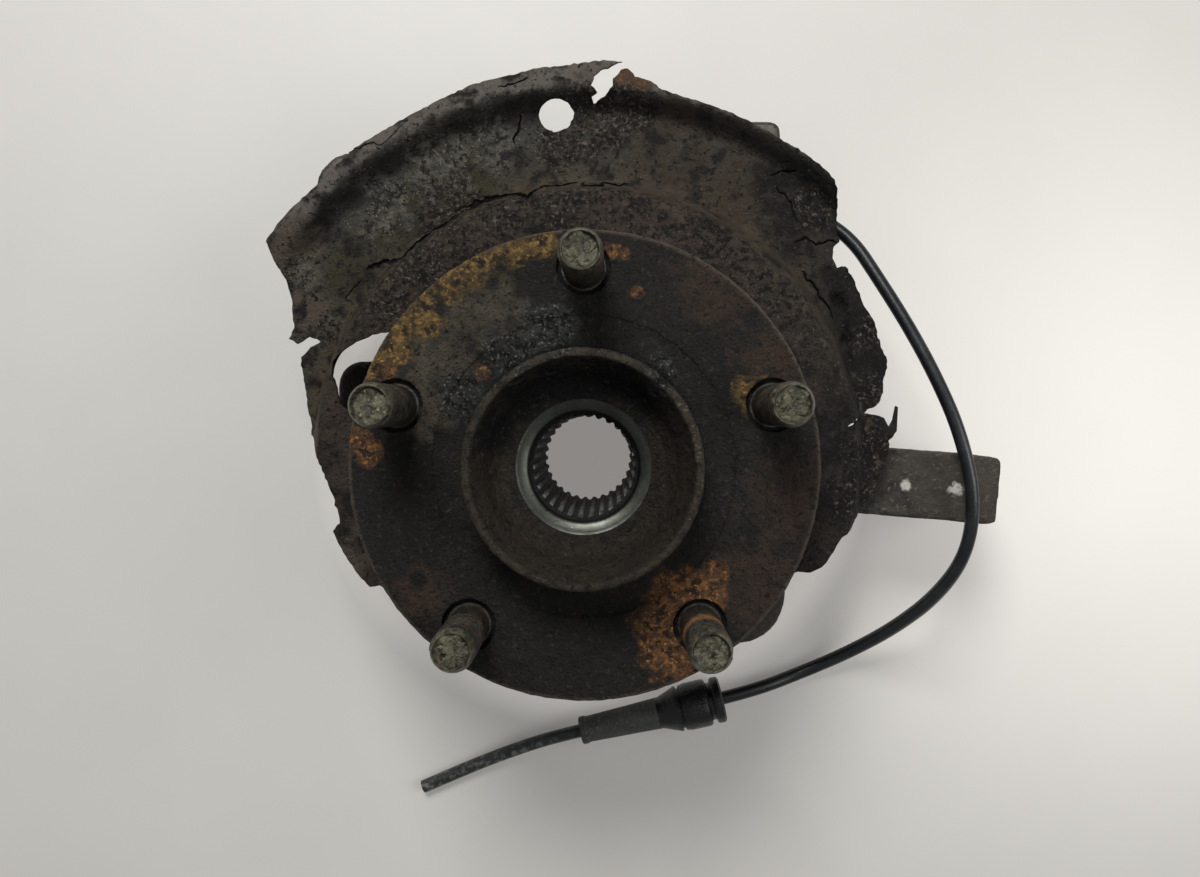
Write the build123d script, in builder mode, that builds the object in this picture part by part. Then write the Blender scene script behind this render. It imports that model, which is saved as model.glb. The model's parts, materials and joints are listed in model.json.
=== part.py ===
from build123d import *
from math import cos, sin, tan, radians, degrees
import os

# Steering knuckle with its splined wheel hub, double-row hub bearing, dust shield and wheel-speed
# sensor. Millimetres. The origin is on the hub axis at the wheel-mounting face, and +Z points out
# of the car. +X is the car's up direction (strut side) and -X is the ball-joint side.


def polar(radius, angle):
    """A point in the XY plane at a radius and an angle in degrees."""
    return (radius * cos(radians(angle)), radius * sin(radians(angle)))


def radial_plane(angle, height):
    """A plane square to the hub radius at an angle: +Z outward, +X along the tangent, clockwise."""
    out_x, out_y = polar(1, angle)
    return Plane(origin=(0, 0, height), x_dir=(out_y, -out_x, 0), z_dir=(out_x, out_y, 0))


# ---------------------------------------------------------------- driving dimensions
# Wheel interface
stud_count = 5
stud_circle_d = 114.3
stud_first_angle = 90
stud_d = 12.0
stud_reach = 31.0
stud_tip_d = 10.4
stud_tip_h = 1.6
stud_relief_d = 15.4
stud_relief_depth = 1.6
stud_knurl_d = 12.9
stud_head_d = 18.0
stud_head_h = 6.0
pilot_d = 67.1
pilot_h = 17.0
pilot_wall = 3.0
pilot_edge = 1.2
flange_d = 137.0
flange_t = 10.0
flange_edge = 0.8
face_relief_d = 88.0
face_relief_depth = 0.6

# Bore of the hub
nut_seat_z = 1.5
nut_seat_d = 39.0
bowl_foot_h = 5.0
bowl_foot_d = 53.0
spline_count = 30
spline_major_d = 30.0
spline_minor_d = 28.0
spline_space_share = 0.55
spline_flank_slope = 0.25
spline_mouth = 1.3

# Hub bearing: 40 x 74 x 40
bearing_bore_d = 40.0
bearing_d = 74.0
bearing_w = 40.0
bearing_face_z = -24.0
ball_d = 11.0
ball_count = 13
row_spacing = 16.0
ball_gap = 0.05
inner_land_d = 52.6
outer_land_d = 61.4
seal_seat_d = 67.0
seal_seat_w = 5.2
seal_t = 3.0
seal_recess = 0.6
seal_lip_gap = 0.15
encoder_t = 1.0
encoder_gap = 0.3
cage_t = 2.2
cage_w = 14.0
cage_pocket_gap = 0.15
ring_edge = 0.8
hub_shoulder_d = 55.0
hub_shoulder_blend = 5.0
stem_end_gap = 2.0
stem_edge = 1.0

# Housing in the knuckle
housing_front_z = -20.0
housing_lip_d = 68.0
housing_spigot_d = 98.0
housing_neck_d = 100.0
shield_seat_z = -29.2
shield_seat_w = 13.0
shield_seat_t = 10.0
ring_d = 120.0
ring_top_z = -58.0
ring_bottom_z = -84.0
snap_groove_d = 77.6
snap_t = 1.75
snap_d = 77.0
snap_inner_d = 70.6
snap_side_gap = 0.1
snap_mouth = 14.0
snap_eye_d = 7.0
snap_eye_hole_d = 2.4
cv_relief_d = 88.0
cv_relief_z = -68.0
cast_edge = 2.0
cast_web_edge = 3.0

# Table plane that the casting rests on
rest_z = -100.0

# Strut tongue
strut_angle = -4.8
strut_end_r = 142.0
strut_w = 24.0
strut_top_z = -53.0
strut_bottom_z = -90.0
strut_root_w = 44.0
strut_bolt_r = (76.0, 128.0)
strut_bolt_z = -71.5
strut_bolt_d = 14.5
strut_corner = 2.6
strut_edge = 1.2

# Caliper ears
ear_places = ((-85.7, 96.0), (55.3, 106.7))
ear_corners = (14.4, 4.5)
ear_w = 29.0
ear_top_z = -74.0
ear_hole_d = 12.5
ear_arm_top_z = -78.0
ear_arm_bottom_z = -94.0
ear_arm_root_r = 46.0
ear_arm_root_d = 36.0
ear_arm_tip_d = 26.0
ear_rib_w = 7.0
ear_rib_top_z = -66.0
ear_rib_end_r = 82.0

# Lower ball-joint clamp
clamp_x = (-88.0, -50.0)
clamp_y = (-22.0, 34.0)
clamp_top_z = -57.0
clamp_bore_d = 17.0
clamp_bore_y = 4.0
clamp_bore_z = -79.0
clamp_slot_w = 3.0
clamp_bolt_d = 10.5
clamp_bolt_y = 23.0
clamp_corner = 9.0

# Steering arm
tie_eye_place = (53.6, -51.4)
tie_eye_w = 36.6
tie_eye_top_z = -72.0
tie_eye_edge = 2.5
tie_hole_d = 12.0
tie_hole_small_d = 10.0
tie_arm_root_r = 50.0
tie_arm_root_d = 34.0
tie_arm_tip_d = 28.0
tie_arm_top_z = -76.0
tie_arm_bottom_z = -94.0

# Dust shield
sheet_t = 1.2
shield_fit_gap = 0.3
shield_pan_d = 170.0
shield_step_d = 186.0
shield_outer_z = -44.8
shield_lip_foot_d = 228.0
shield_crest_d = 243.0
shield_crest_z = -37.0
shield_lip_d = 264.0
shield_lip_z = -39.4
shield_rim_r = 127.6
shield_bend = 3.0
shield_hole_d = 11.0
shield_hole_place = (-10.3, 113.6)
shield_window_d = 33.5
shield_window_place = (-65.0, 24.0)
shield_bolt_count = 3
shield_bolt_first_angle = 30
shield_bolt_d = 6.0
shield_bolt_gap = 0.3
shield_bolt_head_d = 11.5
shield_bolt_head_h = 4.0
shield_bolt_washer_d = 13.5
shield_bolt_washer_t = 1.2
shield_bolt_length = 9.0

# Wheel-speed sensor
sensor_angle = 96.0
sensor_z = -70.5
sensor_d = 8.0
sensor_fit_gap = 0.15
sensor_tip_r = 29.0
sensor_pad_r = 64.0
sensor_pad_w = 34.0
sensor_pad_shift = -6.5
sensor_spot_gap = 0.5
sensor_flange_t = 4.0
sensor_head_d = 15.0
sensor_head_h = 13.0
sensor_head_edge = 2.0
sensor_ear_shift = -15.0
sensor_ear_d = 12.0
sensor_bolt_d = 6.0
sensor_bolt_length = 12.0
sensor_bolt_head_d = 10.0
sensor_bolt_head_h = 5.0
sensor_bolt_socket_d = 5.0
sensor_outlet_d = 9.0
sensor_outlet_reach = 18.0
o_ring_t = 1.2
o_ring_r = 52.0

# Sensor lead, its grommet and its sleeve
lead_d = 5.0
lead_bend_share = 0.45
lead_start_run = 16.0
lead_route = [(44.5, 81.5, -66.0), (64.5, 85.5, -62.5),
              (79.5, 83.5, -60.0), (91.0, 75.0, -57.5), (99.0, 61.5, -54.5),
              (108.0, 45.5, -51.0), (116.5, 28.0, -47.5), (124.0, 9.0, -44.6),
              (129.0, -13.0, -44.0), (128.5, -33.0, -49.5), (122.5, -50.0, -63.0),
              (112.0, -65.0, -79.0), (98.5, -77.0, -91.5), (82.5, -85.5, -96.0),
              (61.5, -92.2, -91.6), (22.1, -101.2, -91.0), (-14.0, -109.6, -91.5),
              (-32.0, -117.0, -95.8), (-49.5, -124.5, -97.5), (-66.1, -131.8, -97.5)]
grommet_start = (50.5, -94.7)
grommet_heading = 193.0
grommet_lip_d = 17.3
grommet_lip_t = 3.5
grommet_neck_d = 14.0
grommet_neck_t = 1.8
grommet_body_d = 17.8
grommet_body_t = 11.0
grommet_cone_d = 17.0
grommet_cone_t = 8.0
sleeve_d = 11.9
sleeve_tip_d = 9.6
sleeve_length = 31.5
collar_d = 10.4
collar_t = 2.5

# ---------------------------------------------------------------- derived sizes
stud_circle_r = stud_circle_d / 2
pilot_r = pilot_d / 2
flange_r = flange_d / 2
stem_r = bearing_bore_d / 2
bearing_r = bearing_d / 2
bearing_back_z = bearing_face_z - bearing_w
bearing_mid_z = bearing_face_z - bearing_w / 2
stem_end_z = bearing_back_z + stem_end_gap
pitch_r = (stem_r + bearing_r) / 2
ball_track_r = ball_d / 2 + ball_gap
row_z = (bearing_mid_z + row_spacing / 2, bearing_mid_z - row_spacing / 2)
inner_land_r = inner_land_d / 2
outer_land_r = outer_land_d / 2
seal_seat_r = seal_seat_d / 2
snap_z = bearing_back_z - snap_side_gap
sensor_outlet_r = sensor_pad_r + sensor_flange_t + sensor_head_h / 2
shield_seat_d = housing_spigot_d + 2 * shield_seat_w
shield_bolt_circle_d = housing_spigot_d + shield_seat_w

os.makedirs("parts", exist_ok=True)

# ---------------------------------------------------------------- hub flange
# One forging: flange, centring nose, bowl down to the axle-nut seat, and the splined stem.
with BuildPart() as hub_flange:
    with BuildSketch(Plane.XZ):
        with BuildLine():
            bore_r = spline_minor_d / 2
            mouth_r = spline_major_d / 2 + spline_mouth / 2
            rim_r = pilot_r - pilot_wall
            stem = Polyline(
                (mouth_r, nut_seat_z),
                (bore_r, nut_seat_z - (mouth_r - bore_r)),
                (bore_r, stem_end_z),
                (stem_r - stem_edge, stem_end_z),
                (stem_r, stem_end_z + stem_edge),
                (stem_r, bearing_face_z),
                (hub_shoulder_d / 2, bearing_face_z),
                (hub_shoulder_d / 2, -flange_t - hub_shoulder_blend),
            )
            blend = RadiusArc(
                stem @ 1, (hub_shoulder_d / 2 + hub_shoulder_blend, -flange_t), hub_shoulder_blend
            )
            flange = Polyline(
                blend @ 1,
                (flange_r - flange_edge, -flange_t),
                (flange_r, -flange_t + flange_edge),
                (flange_r, -flange_edge),
                (flange_r - flange_edge, 0),
                (face_relief_d / 2, 0),
                (face_relief_d / 2, -face_relief_depth),
                (pilot_r, -face_relief_depth),
                (pilot_r, pilot_h - pilot_edge),
            )
            nose = RadiusArc(flange @ 1, (pilot_r - pilot_edge, pilot_h), -pilot_edge)
            rim = Line(nose @ 1, (rim_r, pilot_h))
            cone = Line(rim @ 1, (bowl_foot_d / 2, nut_seat_z + bowl_foot_h))
            bowl = TangentArc(
                cone @ 1, (nut_seat_d / 2, nut_seat_z), tangent=cone % 1
            )
            Line(bowl @ 1, stem @ 0)
        make_face()
    revolve(axis=Axis.Z)
    # stud holes, with the relief round each stud
    with PolarLocations(stud_circle_r, stud_count, start_angle=stud_first_angle):
        Hole(radius=stud_knurl_d / 2)
        with Locations((0, 0, -stud_relief_depth)):
            Cylinder(
                stud_relief_d / 2,
                stud_relief_depth,
                align=(Align.CENTER, Align.CENTER, Align.MIN),
                mode=Mode.SUBTRACT,
            )
    # spline spaces
    space_root_r = spline_minor_d / 2 - spline_mouth / 2
    space_tip_r = spline_major_d / 2
    space_half = space_tip_r * radians(360 / spline_count * spline_space_share / 2)
    space_flare = space_half * spline_flank_slope
    with BuildSketch(Plane.XY.offset(stem_end_z)):
        with PolarLocations(0, spline_count):
            Polygon(
                (space_root_r, -space_half - space_flare),
                (space_tip_r, -space_half + space_flare),
                (space_tip_r, space_half - space_flare),
                (space_root_r, space_half + space_flare),
                align=None,
            )
    extrude(amount=nut_seat_z - stem_end_z, mode=Mode.SUBTRACT)
hub_flange.part.label = "hub_flange"

# ---------------------------------------------------------------- wheel studs
# Five pressed studs: head behind the flange, knurl in the flange, plain shank with a dog point.
with BuildPart() as wheel_studs:
    with PolarLocations(stud_circle_r, stud_count, start_angle=stud_first_angle):
        with Locations((0, 0, -flange_t - stud_head_h)):
            Cylinder(
                stud_head_d / 2, stud_head_h, align=(Align.CENTER, Align.CENTER, Align.MIN)
            )
        with Locations((0, 0, -flange_t)):
            Cylinder(
                stud_knurl_d / 2,
                flange_t - stud_relief_depth,
                align=(Align.CENTER, Align.CENTER, Align.MIN),
            )
        with Locations((0, 0, -stud_relief_depth)):
            Cylinder(
                stud_d / 2,
                stud_relief_depth + stud_reach - stud_tip_h,
                align=(Align.CENTER, Align.CENTER, Align.MIN),
            )
        with Locations((0, 0, stud_reach - stud_tip_h)):
            Cone(
                stud_d / 2, stud_tip_d / 2, stud_tip_h,
                align=(Align.CENTER, Align.CENTER, Align.MIN),
            )
wheel_studs.part.label = "wheel_studs"

# ---------------------------------------------------------------- hub bearing
# Outer ring: two tracks, a land between them, and a seal seat at each end.
with BuildPart() as bearing_outer_ring:
    with BuildSketch(Plane.XZ):
        with BuildLine():
            Polyline(
                (bearing_r, bearing_back_z + ring_edge),
                (bearing_r, bearing_face_z - ring_edge),
                (bearing_r - ring_edge, bearing_face_z),
                (seal_seat_r, bearing_face_z),
                (seal_seat_r, bearing_face_z - seal_seat_w),
                (outer_land_r, bearing_face_z - seal_seat_w),
                (outer_land_r, bearing_back_z + seal_seat_w),
                (seal_seat_r, bearing_back_z + seal_seat_w),
                (seal_seat_r, bearing_back_z),
                (bearing_r - ring_edge, bearing_back_z),
                close=True,
            )
        make_face()
        with Locations((pitch_r, row_z[0]), (pitch_r, row_z[1])):
            Circle(ball_track_r, mode=Mode.SUBTRACT)
    revolve(axis=Axis.Z)
bearing_outer_ring.part.label = "bearing_outer_ring"


def inner_ring(face_z, end_z, track_z):
    """One half of the split inner ring, from its outside face to the joint at mid width."""
    with BuildPart() as ring:
        with BuildSketch(Plane.XZ):
            with BuildLine():
                Polyline(
                    (stem_r, face_z),
                    (inner_land_r, face_z),
                    (inner_land_r, end_z),
                    (stem_r, end_z),
                    close=True,
                )
            make_face()
            with Locations((pitch_r, track_z)):
                Circle(ball_track_r, mode=Mode.SUBTRACT)
        revolve(axis=Axis.Z)
    return ring.part


def ball_row(track_z):
    """One row of balls."""
    with BuildPart() as balls:
        with Locations((0, 0, track_z)):
            with PolarLocations(pitch_r, ball_count):
                Sphere(ball_d / 2)
    return balls.part


def ball_cage(track_z):
    """A moulded cage with one round pocket for each ball."""
    with BuildPart() as cage:
        with BuildSketch(Plane.XY.offset(track_z - cage_w / 2)):
            Circle(pitch_r + cage_t / 2)
            Circle(pitch_r - cage_t / 2, mode=Mode.SUBTRACT)
        extrude(amount=cage_w)
        for ball in range(ball_count):
            with Locations(radial_plane(360 / ball_count * ball, track_z)):
                Cylinder(
                    ball_d / 2 + cage_pocket_gap,
                    pitch_r + cage_t,
                    align=(Align.CENTER, Align.CENTER, Align.MIN),
                    mode=Mode.SUBTRACT,
                )
    return cage.part


def lip_seal(outer_face_z):
    """A seal seated in the outer ring, its lip just clear of the inner ring."""
    with BuildPart() as seal:
        with BuildSketch(Plane.XY.offset(outer_face_z)):
            Circle(seal_seat_r)
            Circle(inner_land_r + seal_lip_gap, mode=Mode.SUBTRACT)
        extrude(amount=seal_t)
    return seal.part


inner_rings = {
    "bearing_inner_ring_outboard": inner_ring(bearing_face_z, bearing_mid_z, row_z[0]),
    "bearing_inner_ring_inboard": inner_ring(bearing_back_z, bearing_mid_z, row_z[1]),
}
ball_rows = {
    "bearing_balls_outboard": ball_row(row_z[0]),
    "bearing_balls_inboard": ball_row(row_z[1]),
}
ball_cages = {
    "bearing_cage_outboard": ball_cage(row_z[0]),
    "bearing_cage_inboard": ball_cage(row_z[1]),
}
seals = {
    "bearing_seal_outboard": lip_seal(bearing_face_z - seal_recess - seal_t),
    "bearing_seal_inboard": lip_seal(bearing_back_z + encoder_t + encoder_gap),
}

# Magnetic encoder ring on the inboard inner ring, read by the wheel-speed sensor.
with BuildPart() as encoder_ring:
    with BuildSketch(Plane.XY.offset(bearing_back_z)):
        Circle(seal_seat_r - encoder_gap)
        Circle(inner_land_r, mode=Mode.SUBTRACT)
    extrude(amount=encoder_t)
encoder_ring.part.label = "encoder_ring"

# Snap ring that holds the bearing in the housing.
with BuildPart() as bearing_snap_ring:
    with BuildSketch(Plane.XY.offset(snap_z - snap_t)):
        Circle(snap_d / 2)
        Circle(snap_inner_d / 2, mode=Mode.SUBTRACT)
        eye_r = (snap_inner_d + snap_eye_d) / 2 - (snap_eye_d - snap_eye_hole_d) / 2
        eye_turn = degrees((snap_mouth + snap_eye_d) / 2 / eye_r)
        eyes = [polar(eye_r, 270 - eye_turn), polar(eye_r, 270 + eye_turn)]
        with Locations((0, -snap_d / 2)):
            Rectangle(snap_mouth, snap_d / 4, mode=Mode.SUBTRACT)
        with Locations(*eyes):
            Circle(snap_eye_d / 2)
        Circle(snap_d / 2, mode=Mode.INTERSECT)
        with Locations(*eyes):
            Circle(snap_eye_hole_d / 2, mode=Mode.SUBTRACT)
    extrude(amount=snap_t)
bearing_snap_ring.part.label = "bearing_snap_ring"

# ---------------------------------------------------------------- knuckle casting
sensor_plane = radial_plane(sensor_angle, sensor_z)
strut_plane = Plane(
    origin=(0, 0, 0), x_dir=(cos(radians(strut_angle)), sin(radians(strut_angle)), 0)
)


def arm_sketch(root, root_d, tip, tip_d):
    """A tapering arm between two round ends."""
    with BuildSketch(mode=Mode.PRIVATE) as arm:
        with Locations(root):
            Circle(root_d / 2)
        with Locations(tip):
            Circle(tip_d / 2)
        make_hull()
    return arm.sketch


with BuildPart() as knuckle:
    # housing, shield seat and base ring
    with BuildSketch(Plane.XZ):
        with BuildLine():
            seat_back_z = shield_seat_z - shield_seat_t
            Polyline(
                (0, housing_front_z),
                (housing_spigot_d / 2, housing_front_z),
                (housing_spigot_d / 2, shield_seat_z),
                (shield_seat_d / 2, shield_seat_z),
                (shield_seat_d / 2, seat_back_z),
                (housing_neck_d / 2, seat_back_z - shield_seat_t / 2),
                (housing_neck_d / 2, ring_top_z + shield_seat_t / 2),
                (ring_d / 2, ring_top_z),
                (ring_d / 2, ring_bottom_z),
                (0, ring_bottom_z),
                close=True,
            )
        make_face()
    revolve(axis=Axis.Z)
    # strut tongue: a wide root that narrows to the flat clamped by the strut bracket
    with BuildPart(mode=Mode.PRIVATE) as strut_tongue:
        with BuildSketch(strut_plane.offset(strut_bottom_z)):
            with BuildLine():
                Polyline(
                    (bearing_r + cast_web_edge, strut_root_w / 2),
                    (ring_d / 2, strut_w / 2),
                    (strut_end_r, strut_w / 2),
                    (strut_end_r, -strut_w / 2),
                    (ring_d / 2, -strut_w / 2),
                    (bearing_r + cast_web_edge, -strut_root_w / 2),
                    close=True,
                )
            tongue = make_face()
            fillet(tongue.vertices().sort_by(Axis.X)[-2:], strut_corner)
        extrude(amount=strut_top_z - strut_bottom_z)
        level_faces = strut_tongue.faces().filter_by(Axis.Z)
        fillet(level_faces.edges(), strut_edge)
    add(strut_tongue.part)
    # caliper ears with their arms
    for (ear_x, ear_y), ear_corner in zip(ear_places, ear_corners):
        ear_angle = degrees(Vector(ear_x, ear_y).get_angle(Vector(1, 0)) * radians(1))
        ear_root = polar(ear_arm_root_r, ear_angle)
        with BuildPart(mode=Mode.PRIVATE) as ear_arm:
            with BuildSketch(Plane.XY.offset(ear_arm_bottom_z)):
                add(arm_sketch(ear_root, ear_arm_root_d, (ear_x, ear_y), ear_arm_tip_d))
            extrude(amount=ear_arm_top_z - ear_arm_bottom_z)
            fillet(ear_arm.faces().filter_by(Axis.Z).edges(), cast_web_edge)
        add(ear_arm.part)
        with BuildPart(mode=Mode.PRIVATE) as ear:
            with BuildSketch(Plane.XY.offset(rest_z)):
                with Locations((ear_x, ear_y)):
                    RectangleRounded(ear_w, ear_w, ear_corner)
            extrude(amount=ear_top_z - rest_z)
            chamfer(ear.faces().sort_by(Axis.Z)[-1].edges(), cast_edge / 2)
        add(ear.part)
        rib_dir = polar(1, ear_angle)
        rib_plane = Plane(
            origin=(0, 0, 0), x_dir=(rib_dir[0], rib_dir[1], 0), z_dir=(rib_dir[1], -rib_dir[0], 0)
        )
        with BuildSketch(rib_plane):
            with BuildLine():
                Polyline(
                    (housing_neck_d / 2, ear_rib_top_z),
                    (ring_d / 2, ear_rib_top_z),
                    (ear_rib_end_r, ear_arm_top_z),
                    (housing_neck_d / 2, ear_arm_top_z),
                    close=True,
                )
            make_face()
        extrude(amount=ear_rib_w / 2, both=True)
    # ball-joint clamp
    clamp_mid = (sum(clamp_x) / 2, sum(clamp_y) / 2)
    with BuildPart(mode=Mode.PRIVATE) as clamp_block:
        with BuildSketch(Plane.XY.offset(rest_z)):
            with Locations(clamp_mid):
                RectangleRounded(clamp_x[1] - clamp_x[0], clamp_y[1] - clamp_y[0], clamp_corner)
        extrude(amount=clamp_top_z - rest_z)
        fillet(clamp_block.faces().sort_by(Axis.Z)[-1].edges(), cast_web_edge)
        chamfer(clamp_block.faces().sort_by(Axis.Z)[0].edges(), cast_edge / 2)
    add(clamp_block.part)
    # steering arm and tie-rod eye
    tie_hole_z = (rest_z + tie_eye_top_z) / 2
    tie_angle = degrees(-Vector(*tie_eye_place).get_angle(Vector(1, 0)) * radians(1))
    with BuildPart(mode=Mode.PRIVATE) as tie_arm:
        with BuildSketch(Plane.XY.offset(tie_arm_bottom_z)):
            tie_root = polar(tie_arm_root_r, tie_angle)
            add(arm_sketch(tie_root, tie_arm_root_d, tie_eye_place, tie_arm_tip_d))
        extrude(amount=tie_arm_top_z - tie_arm_bottom_z)
        fillet(tie_arm.faces().filter_by(Axis.Z).edges(), cast_web_edge)
    add(tie_arm.part)
    with BuildPart(mode=Mode.PRIVATE) as tie_eye:
        with BuildSketch(Plane.XY.offset(rest_z)):
            with Locations(tie_eye_place):
                Circle(tie_eye_w / 2)
        extrude(amount=tie_eye_top_z - rest_z)
        fillet(tie_eye.faces().filter_by(Axis.Z).edges(), tie_eye_edge)
    add(tie_eye.part)
    # pad for the wheel-speed sensor
    with BuildSketch(sensor_plane):
        with Locations((sensor_pad_shift, 0)):
            Rectangle(sensor_pad_w, 2 * (sensor_z - ring_bottom_z))
    extrude(amount=sensor_pad_r)
    with BuildSketch(sensor_plane.offset(sensor_pad_r)):
        with Locations((sensor_pad_shift, 0)):
            Rectangle(sensor_pad_w, sensor_head_d + 2 * sensor_spot_gap)
    extrude(amount=sensor_flange_t + sensor_head_h, mode=Mode.SUBTRACT)
    # bores: bearing, outboard lip, snap-ring groove and room for the drive-shaft joint
    with BuildSketch(Plane.XZ):
        with BuildLine():
            Polyline(
                (0, housing_front_z),
                (housing_lip_d / 2, housing_front_z),
                (housing_lip_d / 2, bearing_face_z),
                (bearing_r, bearing_face_z),
                (bearing_r, snap_z),
                (snap_groove_d / 2, snap_z),
                (snap_groove_d / 2, snap_z - snap_t),
                (bearing_r, snap_z - snap_t),
                (bearing_r, cv_relief_z),
                (cv_relief_d / 2, cv_relief_z),
                (cv_relief_d / 2, rest_z),
                (0, rest_z),
                close=True,
            )
        make_face()
    revolve(axis=Axis.Z, mode=Mode.SUBTRACT)
    # caliper holes
    with Locations(*[(ear_x, ear_y, ear_top_z) for ear_x, ear_y in ear_places]):
        Hole(radius=ear_hole_d / 2, depth=ear_top_z - rest_z)
    # strut bolt holes, across the tongue
    strut_side = polar(1, strut_angle + 90)
    for bolt_r in strut_bolt_r:
        bolt_x, bolt_y = polar(bolt_r, strut_angle)
        with Locations(Plane(origin=(bolt_x, bolt_y, strut_bolt_z), z_dir=(*strut_side, 0))):
            Cylinder(strut_bolt_d / 2, strut_w * 2, mode=Mode.SUBTRACT)
    # ball-joint bore, clamp slot and pinch-bolt hole
    with BuildSketch(Plane.YZ.offset(clamp_x[0])):
        with Locations((clamp_bore_y, clamp_bore_z)):
            Circle(clamp_bore_d / 2)
        with Locations((clamp_y[1], clamp_bore_z)):
            Rectangle(2 * (clamp_y[1] - clamp_bore_y), clamp_slot_w)
    extrude(amount=clamp_x[1] - clamp_x[0], mode=Mode.SUBTRACT)
    with Locations((clamp_mid[0], clamp_bolt_y, clamp_top_z)):
        Hole(radius=clamp_bolt_d / 2, depth=clamp_top_z - rest_z)
    # tapered tie-rod hole
    with Locations(Plane(origin=(*tie_eye_place, tie_hole_z), z_dir=(1, 0, 0))):
        Cone(tie_hole_d / 2, tie_hole_small_d / 2, tie_eye_w, mode=Mode.SUBTRACT)
    # shield bolt holes
    with Locations((0, 0, shield_seat_z)):
        with PolarLocations(
            shield_bolt_circle_d / 2, shield_bolt_count, start_angle=shield_bolt_first_angle
        ):
            Hole(radius=shield_bolt_d / 2, depth=shield_seat_t + shield_seat_t / 2)
    # sensor hole and its bolt hole
    with BuildSketch(sensor_plane.offset(bearing_r)):
        Circle(sensor_d / 2 + sensor_fit_gap)
        with Locations((sensor_ear_shift, 0)):
            Circle(sensor_bolt_d / 2)
    extrude(amount=sensor_pad_r - bearing_r, mode=Mode.SUBTRACT)
knuckle.part.label = "knuckle"

# ---------------------------------------------------------------- dust shield
# One pressed sheet: flat pan, a step down, a wide outer band and an upturned lip. The sheet is
# rusted through along the sides and the foot is gone, so the outline is ragged.
shield_r = shield_lip_d / 2
outline_left = [(-106.3, 72.4), (-103.9, 66.2), (-98.5, 53.2), (-97.9, 43.8), (-97.0, 38.5),
                (-89.3, 39.5), (-95.7, 34.2), (-94.4, 23.8), (-92.2, 8.1), (-84.5, -0.4),
                (-81.0, -9.6), (-78.5, -18.0), (-80.5, -22.1), (-76.1, -31.1), (-69.1, -40.0)]
outline_right = [(75.4, -32.9), (80.7, -24.0), (91.8, -16.4), (98.1, -4.8), (101.3, 8.6),
                 (82.7, 11.5), (97.6, 18.2), (99.5, 32.5), (95.4, 45.4), (88.0, 59.9),
                 (82.7, 63.6), (81.4, 69.8), (82.8, 80.5)]
shoulder_r = 121.3
shoulder_angles = (47.0, 78.5)
notch = [(15.7, 123.8), (12.4, 127.0), (8.6, 120.8), (2.4, 116.6), (1.8, 121.4), (4.7, 126.0),
         (9.0, 130.4), (0.8, 130.4)]
rim_angles = (92.0, 140.5)
with BuildPart() as dust_shield:
    with BuildSketch(Plane.XZ):
        with BuildLine():
            pan_z = shield_seat_z + sheet_t / 2
            FilletPolyline(
                (housing_spigot_d / 2 + shield_fit_gap, pan_z),
                (shield_pan_d / 2, pan_z),
                (shield_step_d / 2, shield_outer_z),
                (shield_lip_foot_d / 2, shield_outer_z),
                (shield_crest_d / 2, shield_crest_z),
                (shield_r, shield_lip_z),
                radius=shield_bend,
            )
        trace(line_width=sheet_t)
    revolve(axis=Axis.Z)
    with BuildSketch(Plane.XY.offset(rest_z)):
        with BuildLine():
            left_side = Polyline(polar(shield_rim_r, rim_angles[1]), *outline_left)
            foot = Line(left_side @ 1, (-housing_spigot_d / 2, outline_left[-1][1]))
            ring_end = (housing_spigot_d / 2, outline_right[0][1])
            mount_ring = ThreePointArc(foot @ 1, (0, -shield_seat_d / 2), ring_end)
            right_side = Polyline(
                mount_ring @ 1, *outline_right, polar(shoulder_r, shoulder_angles[0])
            )
            shoulder_mid = polar(shoulder_r, sum(shoulder_angles) / 2)
            shoulder = ThreePointArc(
                right_side @ 1, shoulder_mid, polar(shoulder_r, shoulder_angles[1])
            )
            torn_edge = Polyline(shoulder @ 1, *notch, polar(shield_rim_r, rim_angles[0]))
            rim_mid = polar(shield_rim_r, sum(rim_angles) / 2)
            ThreePointArc(torn_edge @ 1, rim_mid, left_side @ 0)
        make_face()
    extrude(amount=-rest_z, mode=Mode.INTERSECT)
    # drain hole, the window over the clamp, and the mounting holes
    with BuildSketch(Plane.XY.offset(rest_z)):
        with Locations(shield_hole_place):
            Circle(shield_hole_d / 2)
        with Locations(shield_window_place):
            Circle(shield_window_d / 2)
        with PolarLocations(
            shield_bolt_circle_d / 2, shield_bolt_count, start_angle=shield_bolt_first_angle
        ):
            Circle(shield_bolt_d / 2 + shield_bolt_gap)
    extrude(amount=-rest_z, mode=Mode.SUBTRACT)
dust_shield.part.label = "dust_shield"

# Flanged hexagon bolts that hold the shield.
with BuildPart() as shield_bolts:
    bolt_head_z = shield_seat_z + sheet_t
    with PolarLocations(
        shield_bolt_circle_d / 2, shield_bolt_count, start_angle=shield_bolt_first_angle
    ):
        with Locations((0, 0, bolt_head_z - shield_bolt_length)):
            Cylinder(
                shield_bolt_d / 2, shield_bolt_length, align=(Align.CENTER, Align.CENTER, Align.MIN)
            )
        with Locations((0, 0, bolt_head_z)):
            Cylinder(
                shield_bolt_washer_d / 2,
                shield_bolt_washer_t,
                align=(Align.CENTER, Align.CENTER, Align.MIN),
            )
    with BuildSketch(Plane.XY.offset(bolt_head_z + shield_bolt_washer_t)):
        with PolarLocations(
            shield_bolt_circle_d / 2, shield_bolt_count, start_angle=shield_bolt_first_angle
        ):
            RegularPolygon(shield_bolt_head_d / 2, 6)
    extrude(amount=shield_bolt_head_h)
shield_bolts.part.label = "shield_bolts"

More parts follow.
